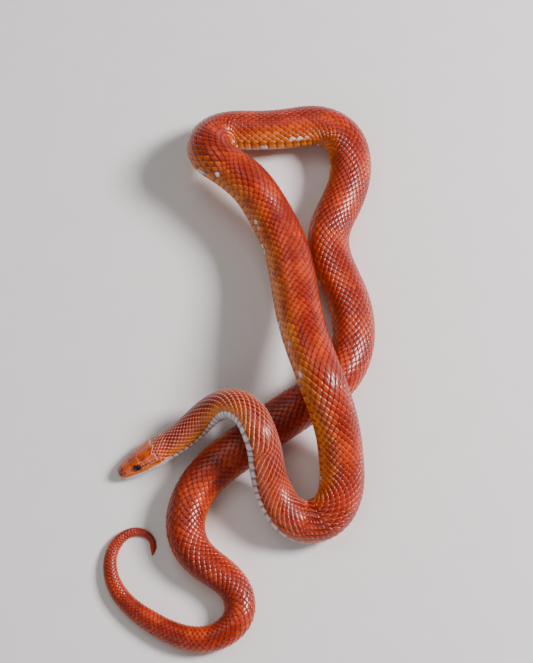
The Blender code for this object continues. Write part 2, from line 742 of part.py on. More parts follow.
def make_head(route):
    """Head, lower jaw and both eyes."""
    frame = head_frame(route)
    whole = combine(head_loft(route), head_plates(route), "UNION")
    jaw = combine(whole.copy(), [prism(jaw_outline(GAP), JAW_HALF_WIDTH, "jaw_keep")], "INTERSECT")
    cutters = [prism(jaw_outline(0.0), JAW_HALF_WIDTH, "jaw_space")]
    for side in (-1, 1):
        cutters.append(eyeball(EYE_RADIUS + GAP, side, "socket"))
        cutters.append(nostril_cutter(side, "nostril"))
        eye = eyeball(EYE_RADIUS, side, "eye")
        eye.transform(frame)
        make_object("eye_right" if side > 0 else "eye_left", eye, EYE_SURFACE)
    head = combine(whole, cutters, "DIFFERENCE")
    make_object("head", place(largest_body(head), frame), SKIN_FLANK, PLATE_SHARP_DEG)
    make_object("lower_jaw", place(largest_body(jaw), frame), JAW_SKIN, PLATE_SHARP_DEG)


def main():
    for obj in list(bpy.data.objects):
        bpy.data.objects.remove(obj, do_unlink=True)
    route = Route()
    make_head(route)
    make_body(route)


main()
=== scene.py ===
"""Corn snake, life size, lying on a floor in loose loops.

One skin replaces the lengths of flesh. Over it lie the scales of the back and the flanks, the belly
scutes, the plates and lips of the head, and the eyes. Every size is in millimetres until a mesh is made.
"""

import logging
import math
from dataclasses import dataclass
from enum import Enum
from typing import Any, Sequence

import bmesh
import bpy
import numpy as np
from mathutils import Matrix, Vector


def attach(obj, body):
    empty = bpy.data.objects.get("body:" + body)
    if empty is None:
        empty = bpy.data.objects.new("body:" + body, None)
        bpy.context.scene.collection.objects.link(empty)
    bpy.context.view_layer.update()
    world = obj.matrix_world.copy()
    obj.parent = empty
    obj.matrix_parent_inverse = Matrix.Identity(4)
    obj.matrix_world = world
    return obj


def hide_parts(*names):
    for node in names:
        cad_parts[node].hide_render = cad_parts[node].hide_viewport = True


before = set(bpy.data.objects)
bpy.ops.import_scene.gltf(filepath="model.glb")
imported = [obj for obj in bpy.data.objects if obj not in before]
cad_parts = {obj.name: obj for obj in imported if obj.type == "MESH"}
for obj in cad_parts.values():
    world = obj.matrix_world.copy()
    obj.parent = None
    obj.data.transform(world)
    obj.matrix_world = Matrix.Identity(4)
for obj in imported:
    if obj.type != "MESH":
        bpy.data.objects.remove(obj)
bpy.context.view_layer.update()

log = logging.getLogger("corn_snake")

MM = 0.001
BAKE_MAP = "OFBake"

# Viewer, as in the part's source
VIEW_TILT_DEG = 70.0
VIEW_DISTANCE = 850.0
CENTRE_X = -12.6
CENTRE_Y = -21.9
FLAT_DEPTH = 0.45

# Half width of the body at distances from the tip of the snout
GIRTH = (
    *((0.0, 4.4), (12.0, 5.6), (22.0, 7.0), (33.0, 8.3), (60.0, 8.6), (100.0, 9.8)),
    *((150.0, 11.0), (190.0, 12.0), (300.0, 12.7), (460.0, 12.2), (530.0, 11.5), (640.0, 11.5)),
    *((680.0, 11.8), (725.0, 11.4), (780.0, 10.0), (822.0, 8.2)),
    *((840.0, 7.3), (910.0, 4.2), (968.0, 1.3)),
)
VENT = 821.0

# Spine at the end of the tail
TAIL_SPINE = 5.0
TAIL_SPINE_POWER = 1.7

# Section of the body
SECTION_WIDTH = 1.03
BELLY_FROM = 0.72
BELLY_FLATNESS = 0.35
BEND_LIMIT = 0.80
BEND_EASING = 0.85

# Head: distance from the snout, half width, top, bottom
HEAD_LENGTH = 32.0
HEAD_BLEND_FROM = 23.0
HEAD_SHAPE = (
    *((0.0, 1.9, 0.9, -1.9), (0.7, 3.1, 2.1, -2.9), (2.0, 4.1, 3.0, -3.6), (4.5, 5.0, 3.9, -4.3)),
    *((8.0, 6.0, 4.7, -4.9), (12.0, 7.1, 5.5, -5.4), (16.0, 8.1, 6.0, -5.8), (20.0, 8.8, 6.4, -6.1)),
    *((24.0, 9.1, 6.8, -6.4), (28.0, 9.0, 7.2, -6.7), (32.0, 8.7, 8.1, -7.0)),
)
HEAD_SQUARENESS = 2.6
MOUTH_END = 28.6
MOUTH = ((-2.0, -1.5), (3.0, -1.7), (10.0, -2.0), (18.0, -2.5), (24.0, -2.5), (MOUTH_END, -1.7))
EYE_RADIUS = 2.1
EYE_FLATTENING = 0.78
EYE_AT = 10.7
EYE_HEIGHT = 1.6
EYE_SIDE = 5.75
EYE_TILT_DEG = 18.0
NOSTRIL_AT = 2.7
NOSTRIL_HEIGHT = 0.9

# Way of the body in the viewer's plane: right, up and lift of each point, then the lean of its back
SNOUT_TIP = (-82.5, -79.8, 0.0)
SNOUT_LEAN = (-0.28, 0.50)
STRETCHES = (
    (
        ((-61.8, -67.5, 0.8), (-54.0, -63.0, 1.5), (-47.8, -59.1, 2.6), (-41.3, -53.6, 5.0)),
        (-0.50, 0.60),
    ),
    (((-31.6, -45.3, 11.3), (-21.2, -40.8, 18.9)), (-0.30, 1.35)),
    (((-10.4, -45.5, 23.5), (-4.8, -56.4, 24.1), (-1.6, -67.9, 20.7)), (2.30, 1.50)),
    (((0.0, -79.1, 13.4), (5.6, -93.8, 4.4)), (3.30, 0.50)),
    (((12.7, -103.1, 0.8), (21.6, -106.7, 0.0)), (1.70, 0.20)),
    (((33.8, -103.4, 0.0), (42.1, -86.6, 1.5)), (1.05, 0.15)),
    (((41.9, -73.6, 6.0), (40.6, -61.4, 13.0), (35.3, -40.0, 24.0)), (1.00, 0.25)),
    (((28.6, -22.1, 25.6), (20.9, -0.3, 19.5), (16.5, 18.8, 13.0)), (1.00, 0.30)),
    (((11.5, 44.5, 8.5), (2.0, 65.2, 9.0), (-12.2, 84.8, 13.0)), (0.85, 0.60)),
    (((-23.4, 92.8, 12.9), (-31.9, 100.1, 14.5), (-33.1, 104.6, 10.3)), (0.30, 1.20)),
    (((-29.4, 108.7, 5.0), (-22.1, 111.3, 0.8)), (0.05, 1.50)),
    (((-6.4, 111.8, 0.0), (13.2, 113.3, 0.0)), (0.0, 1.40)),
    (((31.5, 114.5, 0.0), (43.1, 107.5, 0.0), (47.2, 93.8, 0.0)), (0.85, 0.80)),
    (((45.6, 81.5, 0.0), (40.7, 69.5, 0.0), (35.6, 58.0, 0.0), (34.8, 47.0, 0.0)), (0.40, 0.0)),
    (((38.8, 34.0, 0.0), (45.5, 19.0, 0.0), (48.8, 4.0, 0.0)), (0.35, -0.05)),
    (((47.9, -9.8, 0.0), (41.5, -23.7, 0.0), (29.3, -34.9, 0.0)), (0.30, -0.15)),
    (((12.6, -46.2, 0.0), (-0.3, -55.0, 0.0), (-12.6, -64.1, 0.0)), (0.10, -0.10)),
    (((-24.9, -73.1, 0.0), (-35.3, -83.2, 0.0), (-43.0, -96.0, 0.0)), (0.0, 0.0)),
    (((-45.4, -111.2, 0.0), (-39.5, -125.0, 0.0)), (0.0, 0.0)),
    (((-27.2, -134.7, 0.0), (-17.1, -144.8, 0.0)), (0.0, 0.0)),
    (((-15.0, -158.2, 0.0), (-23.8, -169.0, 0.0)), (0.0, 0.0)),
    (((-38.4, -172.6, 0.0), (-54.0, -168.3, 0.0), (-68.0, -160.3, 0.0)), (0.0, 0.0)),
    (((-79.8, -150.4, 0.0), (-86.8, -138.0, 0.0), (-87.2, -125.0, 0.0)), (0.0, 0.0)),
    (
        ((-80.9, -115.0, 0.0), (-70.8, -111.8, 0.0), (-63.4, -117.0, 0.0), (-64.1, -125.7, 0.0)),
        (0.0, 0.0),
    ),
)

# Plates of the head, outlined by distance from the snout and degrees from the crown
FRONTAL_PLATE = (
    *((7.7, 22), (7.45, 0), (7.7, -22), (11.4, -19)),
    *((13.0, -16), (14.6, 0), (13.0, 16), (11.4, 19)),
)
PAIRED_PLATES = (
    # on top: internasal, prefrontal, supraocular, parietal
    ((1.35, 0.3), (1.3, 26), (1.35, 50), (4.0, 46), (3.8, 0.3)),
    ((3.9, 0.3), (4.1, 46), (4.5, 60), (7.5, 54), (7.75, 23), (7.4, 0.3)),
    ((7.8, 24), (7.6, 52), (8.6, 58), (10.6, 60), (12.4, 57), (13.4, 50), (13.0, 18), (11.4, 20)),
    ((14.7, 0.3), (13.2, 18), (13.6, 50), (15.0, 57), (18.4, 58.5), (21.3, 47), (23.8, 18), (22.9, 0.3)),
    # before the eye: two nasals round the nostril, loreal, preocular
    ((1.35, 54), (2.62, 52), (2.62, 61), (2.25, 66), (2.25, 74), (2.62, 79), (2.62, 85), (1.35, 85)),
    ((2.8, 52), (4.0, 50), (4.5, 85), (2.8, 85), (2.8, 79), (3.2, 74), (3.2, 66), (2.8, 61)),
    ((4.6, 63), (6.7, 60), (6.7, 84), (4.7, 85)),
    ((6.9, 58), (7.7, 56), (8.2, 66), (8.3, 80), (7.5, 85), (6.9, 84)),
    # behind the eye: two postoculars, four temporals
    ((12.9, 60), (14.7, 58), (14.8, 71), (13.3, 73)),
    ((13.3, 75), (14.9, 73), (15.0, 83), (13.3, 85)),
    ((15.0, 60), (18.4, 61), (18.7, 72), (15.1, 71)),
    ((15.1, 73), (18.7, 74), (18.8, 83), (15.2, 83)),
    ((18.8, 61), (21.6, 50), (22.6, 61), (22.3, 72), (19.0, 72)),
    ((19.0, 74), (22.3, 74), (22.5, 83), (19.1, 83)),
    # under the chin: two shields
    ((3.4, 179.6), (3.4, 156), (8.0, 152), (8.6, 179.6)),
    ((8.9, 179.6), (8.3, 152), (13.6, 156), (14.2, 179.6)),
)
UPPER_LABIALS = (1.4, 3.9, 6.3, 8.7, 11.0, 13.6, 16.8, 20.2, 24.0)
LOWER_LABIALS = (1.6, 4.4, 7.2, 10.2, 13.4, 17.2, 21.2)
LABIAL_TOP_DEG = 86.0
LABIAL_UNDER_EYE_DEG = 10.0
LABIAL_EYE_REACH = 1.9
LOWER_LABIAL_DEPTH_DEG = 22.0

# Tones of scutes and plates, scattered by a sine of their number
SCATTER_GAIN = 43758.5453
SCUTE_SCATTER = 12.9898
PLATE_SCATTER = 78.233

HALF_TURN = 180.0

# Half the distance over which a direction of the surface is read
PROBE = 0.6

Array = np.ndarray


class Slot(Enum):
    """The record's material slots; the pieces here do not use them."""

    SKIN = "scaled_skin"
    EYE = "eye_surface"


def natural_spline(knots: Array, values: Array, at: Array) -> Array:
    """Natural cubic spline through values at knots.

    Args:
        knots: rising parameters of the values.
        values: one row for each knot.
        at: parameters to read.

    Returns:
        One row for each parameter.
    """
    count = len(knots)
    step = np.diff(knots)
    slope = np.diff(values, axis=0) / step[:, None]
    matrix = np.eye(count)
    right = np.zeros((count, values.shape[1]))
    for i in range(1, count - 1):
        matrix[i, i - 1] = step[i - 1]
        matrix[i, i] = 2.0 * (step[i - 1] + step[i])
        matrix[i, i + 1] = step[i]
        right[i] = 6.0 * (slope[i] - slope[i - 1])
    bend = np.linalg.solve(matrix, right)
    index = np.clip(np.searchsorted(knots, at, side="right") - 1, 0, count - 2)
    h = step[index][:, None]
    a = (knots[index + 1] - at)[:, None] / h
    b = 1.0 - a
    cubic = ((a**3 - a) * bend[index] + (b**3 - b) * bend[index + 1]) * h**2 / 6.0
    return a * values[index] + b * values[index + 1] + cubic


def smoothed(values: Array, width: float) -> Array:
    """Values blurred along their first axis, ends kept.

    Args:
        values: one row for each sample.
        width: width of the Gaussian in samples.

    Returns:
        Rows of the same shape.
    """
    reach = int(4 * width)
    weights = np.exp(-0.5 * (np.arange(-reach, reach + 1) / width) ** 2)
    weights /= weights.sum()
    head = 2.0 * values[0] - values[reach:0:-1]
    tail = 2.0 * values[-1] - values[-2 : -reach - 2 : -1]
    padded = np.concatenate([head, values, tail])
    return np.stack([np.convolve(column, weights, mode="valid") for column in padded.T], axis=1)


def unit(vectors: Array) -> Array:
    """Vectors scaled to length one."""
    return vectors / np.linalg.norm(vectors, axis=-1, keepdims=True)


def ease(value: Any) -> Any:
    """Smooth step from 0 to 1 of a number or an array."""
    held = np.clip(value, 0.0, 1.0)
    return held * held * (3.0 - 2.0 * held)


def drop_on_floor(right: Array, up: Array, height: Array) -> tuple[Array, Array]:
    """Floor position of points of the viewer's plane that lie at a height.

    Args:
        right: distance to the viewer's right.
        up: distance up in the viewer's plane.
        height: height over the floor.

    Returns:
        The X and the Y of each point.
    """
    sine = math.sin(math.radians(VIEW_TILT_DEG))
    cosine = math.cos(math.radians(VIEW_TILT_DEG))
    nearer = up * (1.0 - height * sine / VIEW_DISTANCE) - height * cosine
    y = nearer / (sine - up * cosine / VIEW_DISTANCE)
    x = right * (1.0 + (y * cosine - height * sine) / VIEW_DISTANCE)
    return x, y


def section(radius: Array, degrees: Array) -> tuple[Array, Array]:
    """Side and up offsets of the body's outline.

    Args:
        radius: half width of the body.
        degrees: signed angle from the back.

    Returns:
        Offsets to the animal's left and up.
    """
    angle = np.radians(degrees)
    side = SECTION_WIDTH * radius * np.sin(angle)
    up = radius * np.cos(angle)
    floor = -BELLY_FROM * radius
    return side, np.where(up < floor, floor + (up - floor) * BELLY_FLATNESS, up)


class Route:
    """The smooth axis of the animal with its frame and girth, read by distance from the snout."""

    SAMPLES = 2400
    STEP = 1.0
    SMOOTH_MM = 3.5

    def __init__(self) -> None:
        """Draws the way in the viewer's plane, drops it on the floor and turns the back as it leans."""
        table = np.array(GIRTH)
        self.girth_at = np.linspace(table[0, 0], table[-1, 0], 400)
        self.girth_mm = smoothed(np.interp(self.girth_at, table[:, 0], table[:, 1])[:, None], 5.0)[:, 0]
        rows = np.array([SNOUT_TIP] + [point for points, _ in STRETCHES for point in points])
        plan = np.linalg.norm(np.diff(rows[:, :2], axis=0), axis=1)
        knots = np.concatenate([[0.0], np.cumsum(plan)])
        at = np.linspace(0.0, knots[-1], self.SAMPLES)
        right, up, lift = natural_spline(knots, rows, at).T
        lift = np.maximum(lift, 0.0)
        last = np.cumsum([len(points) for points, _ in STRETCHES])
        ends = knots[last]
        starts = np.concatenate([[0.0], ends[:-1]])
        lean_at = np.concatenate([[0.0], 0.5 * (starts + ends), [knots[-1]]])
        lean = np.array([SNOUT_LEAN] + [row for _, row in STRETCHES] + [STRETCHES[-1][1]])
        lean_right = np.interp(at, lean_at, lean[:, 0])
        lean_away = np.interp(at, lean_at, lean[:, 1])
        raw_back = np.stack([lean_right, lean_away, np.ones(len(at))], axis=1)
        degrees = np.linspace(-180.0, 180.0, 73)
        height = np.full(len(at), 10.0) + lift
        for _ in range(4):
            x, y = drop_on_floor(right, up, height)
            points = np.stack([x, y, height], axis=1)
            travelled = self.distance(points)
            radius = self.girth(travelled)
            tangent = unit(np.gradient(points, axis=0))
            back, left = self.frame(tangent, raw_back)
            side, rise = section(radius[:, None], degrees[None, :])
            drop = (side * left[:, 2:3] + rise * back[:, 2:3]).min(axis=1)
            height = lift - FLAT_DEPTH - drop
        spacing = travelled[-1] / len(at)
        points = smoothed(points, self.SMOOTH_MM / spacing)
        raw_back = smoothed(raw_back, 3.0 * self.SMOOTH_MM / spacing)
        travelled = self.distance(points)
        self.length = travelled[-1]
        self.at = np.linspace(0.0, self.length, int(self.length / self.STEP) + 1)
        self.points = np.stack([np.interp(self.at, travelled, column) for column in points.T], axis=1)
        self.points[:, 0] -= CENTRE_X
        self.points[:, 1] -= CENTRE_Y
        raw_back = np.stack([np.interp(self.at, travelled, column) for column in raw_back.T], axis=1)
        self.tangent = unit(np.gradient(self.points, axis=0))
        self.back, _ = self.frame(self.tangent, raw_back)
        self.bend = smoothed(np.gradient(self.tangent, self.at, axis=0), 2.0)

    @staticmethod
    def distance(points: Array) -> Array:
        """Distance travelled along points."""
        return np.concatenate([[0.0], np.cumsum(np.linalg.norm(np.diff(points, axis=0), axis=1))])

    @staticmethod
    def frame(tangent: Array, raw_back: Array) -> tuple[Array, Array]:
        """Back and left directions, square to the tangent that runs from head to tail.

        Args:
            tangent: direction from head to tail.
            raw_back: rough direction of the back.

        Returns:
            Unit vectors of the back and of the animal's left.
        """
        back = unit(raw_back)
        back = unit(back - np.sum(back * tangent, axis=-1, keepdims=True) * tangent)
        return back, np.cross(tangent, back)

    def girth(self, distance: Array) -> Array:
        """Half width of the body at distances from the snout."""
        return np.interp(distance, self.girth_at, self.girth_mm)

    def read(self, values: Array, distance: Array) -> Array:
        """Rows of vectors of the route at distances from the snout."""
        return np.stack([np.interp(distance, self.at, column) for column in values.T], axis=-1)


class Hide:
    """Outer surface of the whole animal, read by distance from the snout and degrees from the back."""

    def __init__(self, route: Route) -> None:
        """Sets the head's own frame at the front of the body.

        Args:
            route: axis of the animal.
        """
        self.route = route
        joint = route.read(route.points, HEAD_LENGTH)
        tangent = unit(route.read(route.tangent, HEAD_LENGTH))
        back, _ = route.frame(tangent, route.read(route.back, HEAD_LENGTH))
        self.head_axes = np.stack([tangent, np.cross(back, tangent), back])
        self.head_origin = joint - tangent * HEAD_LENGTH
        fine = np.linspace(0.0, 180.0, 721)
        side, up = section(np.ones(721), fine)
        self.arc = Route.distance(np.stack([side, up], axis=1))
        self.arc_degrees = fine

    def arc_at(self, degrees: Array) -> Array:
        """Way round the body from the back, in half widths, with the sign of the angle."""
        return np.sign(degrees) * np.interp(np.abs(degrees), self.arc_degrees, self.arc)

    def degrees_at(self, arc: Array) -> Array:
        """Signed angle at a way round the body, the inverse of arc_at."""
        return np.sign(arc) * np.interp(np.abs(arc), self.arc, self.arc_degrees)

    @staticmethod
    def head_size(distance: Array) -> tuple[Array, Array, Array]:
        """Half width, top and bottom of the head at distances from the snout.

        Args:
            distance: distance from the tip of the snout.

        Returns:
            Half width, top and bottom of the head, in millimetres.
        """
        table = np.array(HEAD_SHAPE)
        columns = [np.interp(distance, table[:, 0], table[:, column]) for column in (1, 2, 3)]
        return columns[0], columns[1], columns[2]

    @staticmethod
    def mouth_degrees(distance: Array) -> Array:
        """Angle from the crown at which the line of the mouth meets the side of the head.

        Args:
            distance: distance from the tip of the snout.

        Returns:
            Degrees from the crown.
        """
        line = np.array(MOUTH)
        height = np.interp(distance, line[:, 0], line[:, 1])
        bottom = Hide.head_size(distance)[2]
        return 90.0 + np.degrees(np.arcsin((height / bottom) ** (HEAD_SQUARENESS / 2.0)))

    def head_local(self, distance: Array, degrees: Array, out: Array) -> Array:
        """Points of the head in its own frame: back along X, right along Y, up along Z.

        Args:
            distance: distance from the tip of the snout.
            degrees: signed angle from the crown.
            out: height over the surface.

        Returns:
            One row for each point.
        """
        width, top, bottom = self.head_size(distance)
        angle = np.radians(degrees)
        power = 2.0 / HEAD_SQUARENESS
        sine, cosine = np.sin(angle), np.cos(angle)
        side = width * np.sign(sine) * np.abs(sine) ** power
        height = np.where(cosine > 0.0, top, -bottom)
        up = height * np.sign(cosine) * np.abs(cosine) ** power
        blend = ease((distance - HEAD_BLEND_FROM) / (HEAD_LENGTH - HEAD_BLEND_FROM))
        body_side, body_up = section(self.route.girth(HEAD_LENGTH), degrees)
        side = side * (1.0 - blend) + body_side * blend
        up = up * (1.0 - blend) + body_up * blend
        grow = 1.0 + out / np.hypot(side, up)
        return np.stack([distance, -side * grow, up * grow], axis=-1)

    def to_floor(self, local: Array) -> Array:
        """Points of the head's own frame in the floor's frame."""
        return self.head_origin + local @ self.head_axes

    def body(self, distance: Array, degrees: Array, out: Array) -> Array:
        """Points of the body behind the head in the floor's frame.

        Args:
            distance: distance from the tip of the snout.
            degrees: signed angle from the back.
            out: height over the surface.

        Returns:
            One row for each point.
        """
        route = self.route
        centre = route.read(route.points, distance)
        tangent = unit(route.read(route.tangent, distance))
        back, left = route.frame(tangent, route.read(route.back, distance))
        side, up = section(route.girth(distance), degrees)
        grow = 1.0 + out / np.hypot(side, up)
        offset = (side * grow)[..., None] * left + (up * grow)[..., None] * back
        bend = route.read(route.bend, distance)
        tight = np.maximum(np.linalg.norm(bend, axis=-1, keepdims=True), 1e-6)
        inward = bend / tight
        depth = np.sum(offset * inward, axis=-1, keepdims=True)
        extra = np.maximum(depth - BEND_LIMIT / tight, 0.0) * BEND_EASING
        return centre + offset - extra * inward

    def point(self, distance: Array, degrees: Array, out: Array | float = 0.0) -> Array:
        """Points of the surface in the floor's frame.

        Args:
            distance: distance from the tip of the snout.
            degrees: signed angle from the back, positive to the animal's left.
            out: height over the surface.

        Returns:
            One row for each point, none of them under the floor.
        """
        distance, degrees, out = np.broadcast_arrays(
            np.asarray(distance, float), np.asarray(degrees, float), np.asarray(out, float)
        )
        head = self.to_floor(self.head_local(distance, degrees, out))
        body = self.body(distance, degrees, out)
        points = np.where((distance < HEAD_LENGTH)[..., None], head, body)
        points[..., 2] = np.maximum(points[..., 2], 0.0)
        return points

    def slimming(self, distance: Array) -> Array:
        """How far the surface draws in towards the point of the tail."""
        share = np.clip((distance - self.route.length) / TAIL_SPINE + 1.0, 0.0, 1.0)
        return self.route.girth(distance) * share**TAIL_SPINE_POWER

    def axes(self, distance: Array, degrees: Array) -> tuple[Array, Array, Array]:
        """Directions on the surface.

        Args:
            distance: distance from the tip of the snout.
            degrees: signed angle from the back.

        Returns:
            Unit vectors outward, tailward and round to the left.
        """
        tail = unit(self.point(distance + PROBE, degrees) - self.point(distance - PROBE, degrees))
        round_left = unit(self.point(distance, degrees + 2.0) - self.point(distance, degrees - 2.0))
        out = unit(np.cross(round_left, tail))
        outward = self.point(distance, degrees, 1.0) - self.point(distance, degrees, -1.0)
        sign = np.sign(np.sum(out * outward, axis=-1, keepdims=True))
        return out * sign, tail, round_left


@dataclass(frozen=True)
class Unwrap:
    """Flat chart of a length of the body, laid in strips side by side so that it fills the square.

    Attributes:
        start: distance at which the chart starts.
        end: distance at which it ends.
        strips: how many strips it is cut into.
        low: way round at the chart's lower edge, in half turns.
        high: way round at its upper edge.
        margin: share of each strip left bare along its edges.
    """

    start: float
    end: float
    strips: int
    low: float = -1.0
    high: float = 1.0
    margin: float = 0.03

    def strip(self, distance: Array) -> Array:
        """Number of the strip that holds a distance."""
        share = (np.asarray(distance) - self.start) / (self.end - self.start)
        return np.clip(np.floor(share * self.strips), 0, self.strips - 1)

    def chart(self, distance: Array, around: Array, strip: Array) -> Array:
        """Place in the square of points at a distance and a way round, in a given strip.

        Args:
            distance: distance of the points.
            around: way round, in half turns.
            strip: number of the strip that each point is laid in.

        Returns:
            One row of u and v for each point.
        """
        share = (np.asarray(distance) - self.start) / (self.end - self.start) * self.strips - strip
        across = (np.asarray(around) - self.low) / (self.high - self.low)
        keep = 1.0 - 2.0 * self.margin
        u = self.margin + keep * share
        v = (strip + self.margin + keep * across) / self.strips
        return np.stack([u, v], axis=-1)

    def scale(self) -> tuple[float, float]:
        """Growth of the square's u for each millimetre and of its v for each half turn."""
        keep = 1.0 - 2.0 * self.margin
        return keep * self.strips / (self.end - self.start), keep / self.strips / (self.high - self.low)


def place_object(name: str, data: bpy.types.ID) -> bpy.types.Object:
    """Object of the scene, at the origin, that shows a mesh, a light or a camera.

    Args:
        name: name of the object.
        data: what it shows.

    Returns:
        The object.
    """
    obj = bpy.data.objects.new(name, data)
    bpy.context.scene.collection.objects.link(obj)
    return obj


def make_piece(name: str, mesh: bpy.types.Mesh) -> bpy.types.Object:
    """Object that shows a finished mesh, which takes its name."""
    mesh.name = name
    return place_object(name, mesh)


def mesh_from(points: Array, faces: Sequence[Sequence[int]], name: str) -> bpy.types.Mesh:
    """Smooth mesh in metres from points in millimetres.

    Args:
        points: one row for each vertex.
        faces: vertices of each face.
        name: name of the mesh.

    Returns:
        The mesh.
    """
    mesh = bpy.data.meshes.new(name)
    mesh.from_pydata((np.asarray(points) * MM).tolist(), [], faces)
    mesh.shade_smooth()
    return mesh


@dataclass(frozen=True)
class Sheet:
    """Open grid of points with what its mesh needs at each.

    Attributes:
        points: places in millimetres, by row and column.
        lie: distance from the snout and signed degrees.
        leaf: place on the scute, and its tone.
        places: place in the bake map.
    """

    points: Array
    lie: Array
    leaf: Array
    places: Array


def grid_faces(
    rows: int, columns: int, base: int = 0, closed: bool = True
) -> list[tuple[int, int, int, int]]:
    """Faces of a grid of points.

    Args:
        rows: rows of points.
        columns: points of a row.
        base: number of the first point.
        closed: True where each row closes on itself.

    Returns:
        Four vertices of each face.
    """
    faces = []
    for row in range(rows - 1):
        for column in range(columns if closed else columns - 1):
            a = base + row * columns + column
            b = base + row * columns + (column + 1) % columns
            faces.append((a, b, b + columns, a + columns))
    return faces


def scattered(number: float, rate: float) -> float:
    """Value from 0 to 1 that looks random and is the same each run."""
    return (math.sin(number * rate) * SCATTER_GAIN) % 1.0


def side_by_side(*columns: Array | float) -> Array:
    """Values as the last axis of one array; a plain number fills its whole column."""
    return np.stack(np.broadcast_arrays(*columns), axis=-1)


def ring_chart(reach: Array, around: Array) -> Array:
    """Places in the square of a chart, by distance from its middle and angle round it."""
    return side_by_side(0.5 + reach * np.cos(around), 0.5 + reach * np.sin(around))


def face_outward(mesh: bpy.types.Mesh, merge: bool = False, top_up: bool = False) -> None:
    """Turns every face of a mesh outward.

    Args:
        mesh: a closed or nearly closed mesh.
        merge: True to merge the points that coincide first.
        top_up: True to turn all faces over where the highest one looks down.
    """
    bm = bmesh.new()
    bm.from_mesh(mesh)
    if merge:
        bmesh.ops.remove_doubles(bm, verts=bm.verts, dist=1e-7)
    bmesh.ops.recalc_face_normals(bm, faces=bm.faces)
    top = max(bm.faces, key=lambda face: face.calc_center_median().z)
    if top_up and top.normal.z < 0.0:
        bmesh.ops.reverse_faces(bm, faces=bm.faces)
    bm.to_mesh(mesh)
    bm.free()


def write_attribute(mesh: bpy.types.Mesh, name: str, values: Array) -> None:
    """Writes a number or a vector for each vertex of a mesh.

    Args:
        mesh: the mesh.
        name: name of the attribute.
        values: one number or row for each vertex.
    """
    values = np.asarray(values, np.float32)
    if values.ndim == 1:
        mesh.attributes.new(name, "FLOAT", "POINT").data.foreach_set("value", values)
    else:
        mesh.attributes.new(name, "FLOAT_VECTOR", "POINT").data.foreach_set("vector", values.ravel())


def write_map(mesh: bpy.types.Mesh, chart: Array) -> None:
    """Writes the bake map of a mesh from one row for each corner."""
    layer = mesh.uv_layers.new(name=BAKE_MAP)
    layer.data.foreach_set("uv", np.asarray(chart, np.float32).ravel())


def corner_vertices(mesh: bpy.types.Mesh) -> Array:
    """Vertex of each corner of a mesh.

    Args:
        mesh: the mesh.

    Returns:
        One index for each corner.
    """
    index = np.zeros(len(mesh.loops), np.int32)
    mesh.loops.foreach_get("vertex_index", index)
    return index


def settle(obj: bpy.types.Object, material: bpy.types.Material | None = None) -> None:
    """Gives a finished piece its material and its body, and keeps it off the floor.

    Args:
        obj: the piece.
        material: its material, or None where its mesh has one.
    """
    keep_off_floor(obj.data)
    if material is not None:
        obj.data.materials.clear()
        obj.data.materials.append(material)
    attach(obj, "root")
    log.info("%s: %d faces", obj.name, len(obj.data.polygons))


def srgb(red: float, green: float, blue: float) -> tuple[float, float, float, float]:
    """Linear colour of an 8-bit display colour.

    Args:
        red: red from 0 to 255.
        green: green from 0 to 255.
        blue: blue from 0 to 255.

    Returns:
        Linear red, green, blue and alpha.
    """
    parts = [channel / 255.0 for channel in (red, green, blue)]
    linear = [c / 12.92 if c <= 0.04045 else ((c + 0.055) / 1.055) ** 2.4 for c in parts]
    return linear[0], linear[1], linear[2], 1.0


class Link:
    """Output of a node, used in Python expressions that add Math nodes to its tree."""

    def __init__(self, tree: "Tree", socket: bpy.types.NodeSocket) -> None:
        """Wraps a socket of a tree."""
        self.tree = tree
        self.socket = socket

    def math(self, operation: str, *others: Any) -> "Link":
        """Math node on this value and others."""
        sockets = dict(enumerate((self, *others)))
        return self.tree.node("ShaderNodeMath", {"operation": operation}, sockets)

    def vector_math(self, operation: str, other: "Link") -> "Link":
        """Vector Math node on this vector and another."""
        return self.tree.node("ShaderNodeVectorMath", {"operation": operation}, {0: self, 1: other})

    def __add__(self, other: Any) -> "Link":
        """Sum."""
        return self.math("ADD", other)

    __radd__ = __add__

    def __sub__(self, other: Any) -> "Link":
        """Difference."""
        return self.math("SUBTRACT", other)

    def __rsub__(self, other: Any) -> "Link":
        """Difference from a number."""
        return self.tree.node("ShaderNodeMath", {"operation": "SUBTRACT"}, {0: other, 1: self})

    def __mul__(self, other: Any) -> "Link":
        """Product."""
        return self.math("MULTIPLY", other)

    __rmul__ = __mul__

    def __truediv__(self, other: Any) -> "Link":
        """Quotient."""
        return self.math("DIVIDE", other)

    def size(self) -> "Link":
        """Absolute value."""
        return self.math("ABSOLUTE")

    def fraction(self) -> "Link":
        """Part after the decimal point."""
        return self.math("FRACT")

    def root(self) -> "Link":
        """Square root."""
        return self.math("SQRT")

    def most(self, other: Any) -> "Link":
        """Larger of two values."""
        return self.math("MAXIMUM", other)

    def step(self, low: float, high: float) -> "Link":
        """Smooth step from 0 at low to 1 at high."""
        sockets = {"Value": self, "From Min": low, "From Max": high}
        return self.tree.node("ShaderNodeMapRange", {"interpolation_type": "SMOOTHSTEP"}, sockets)


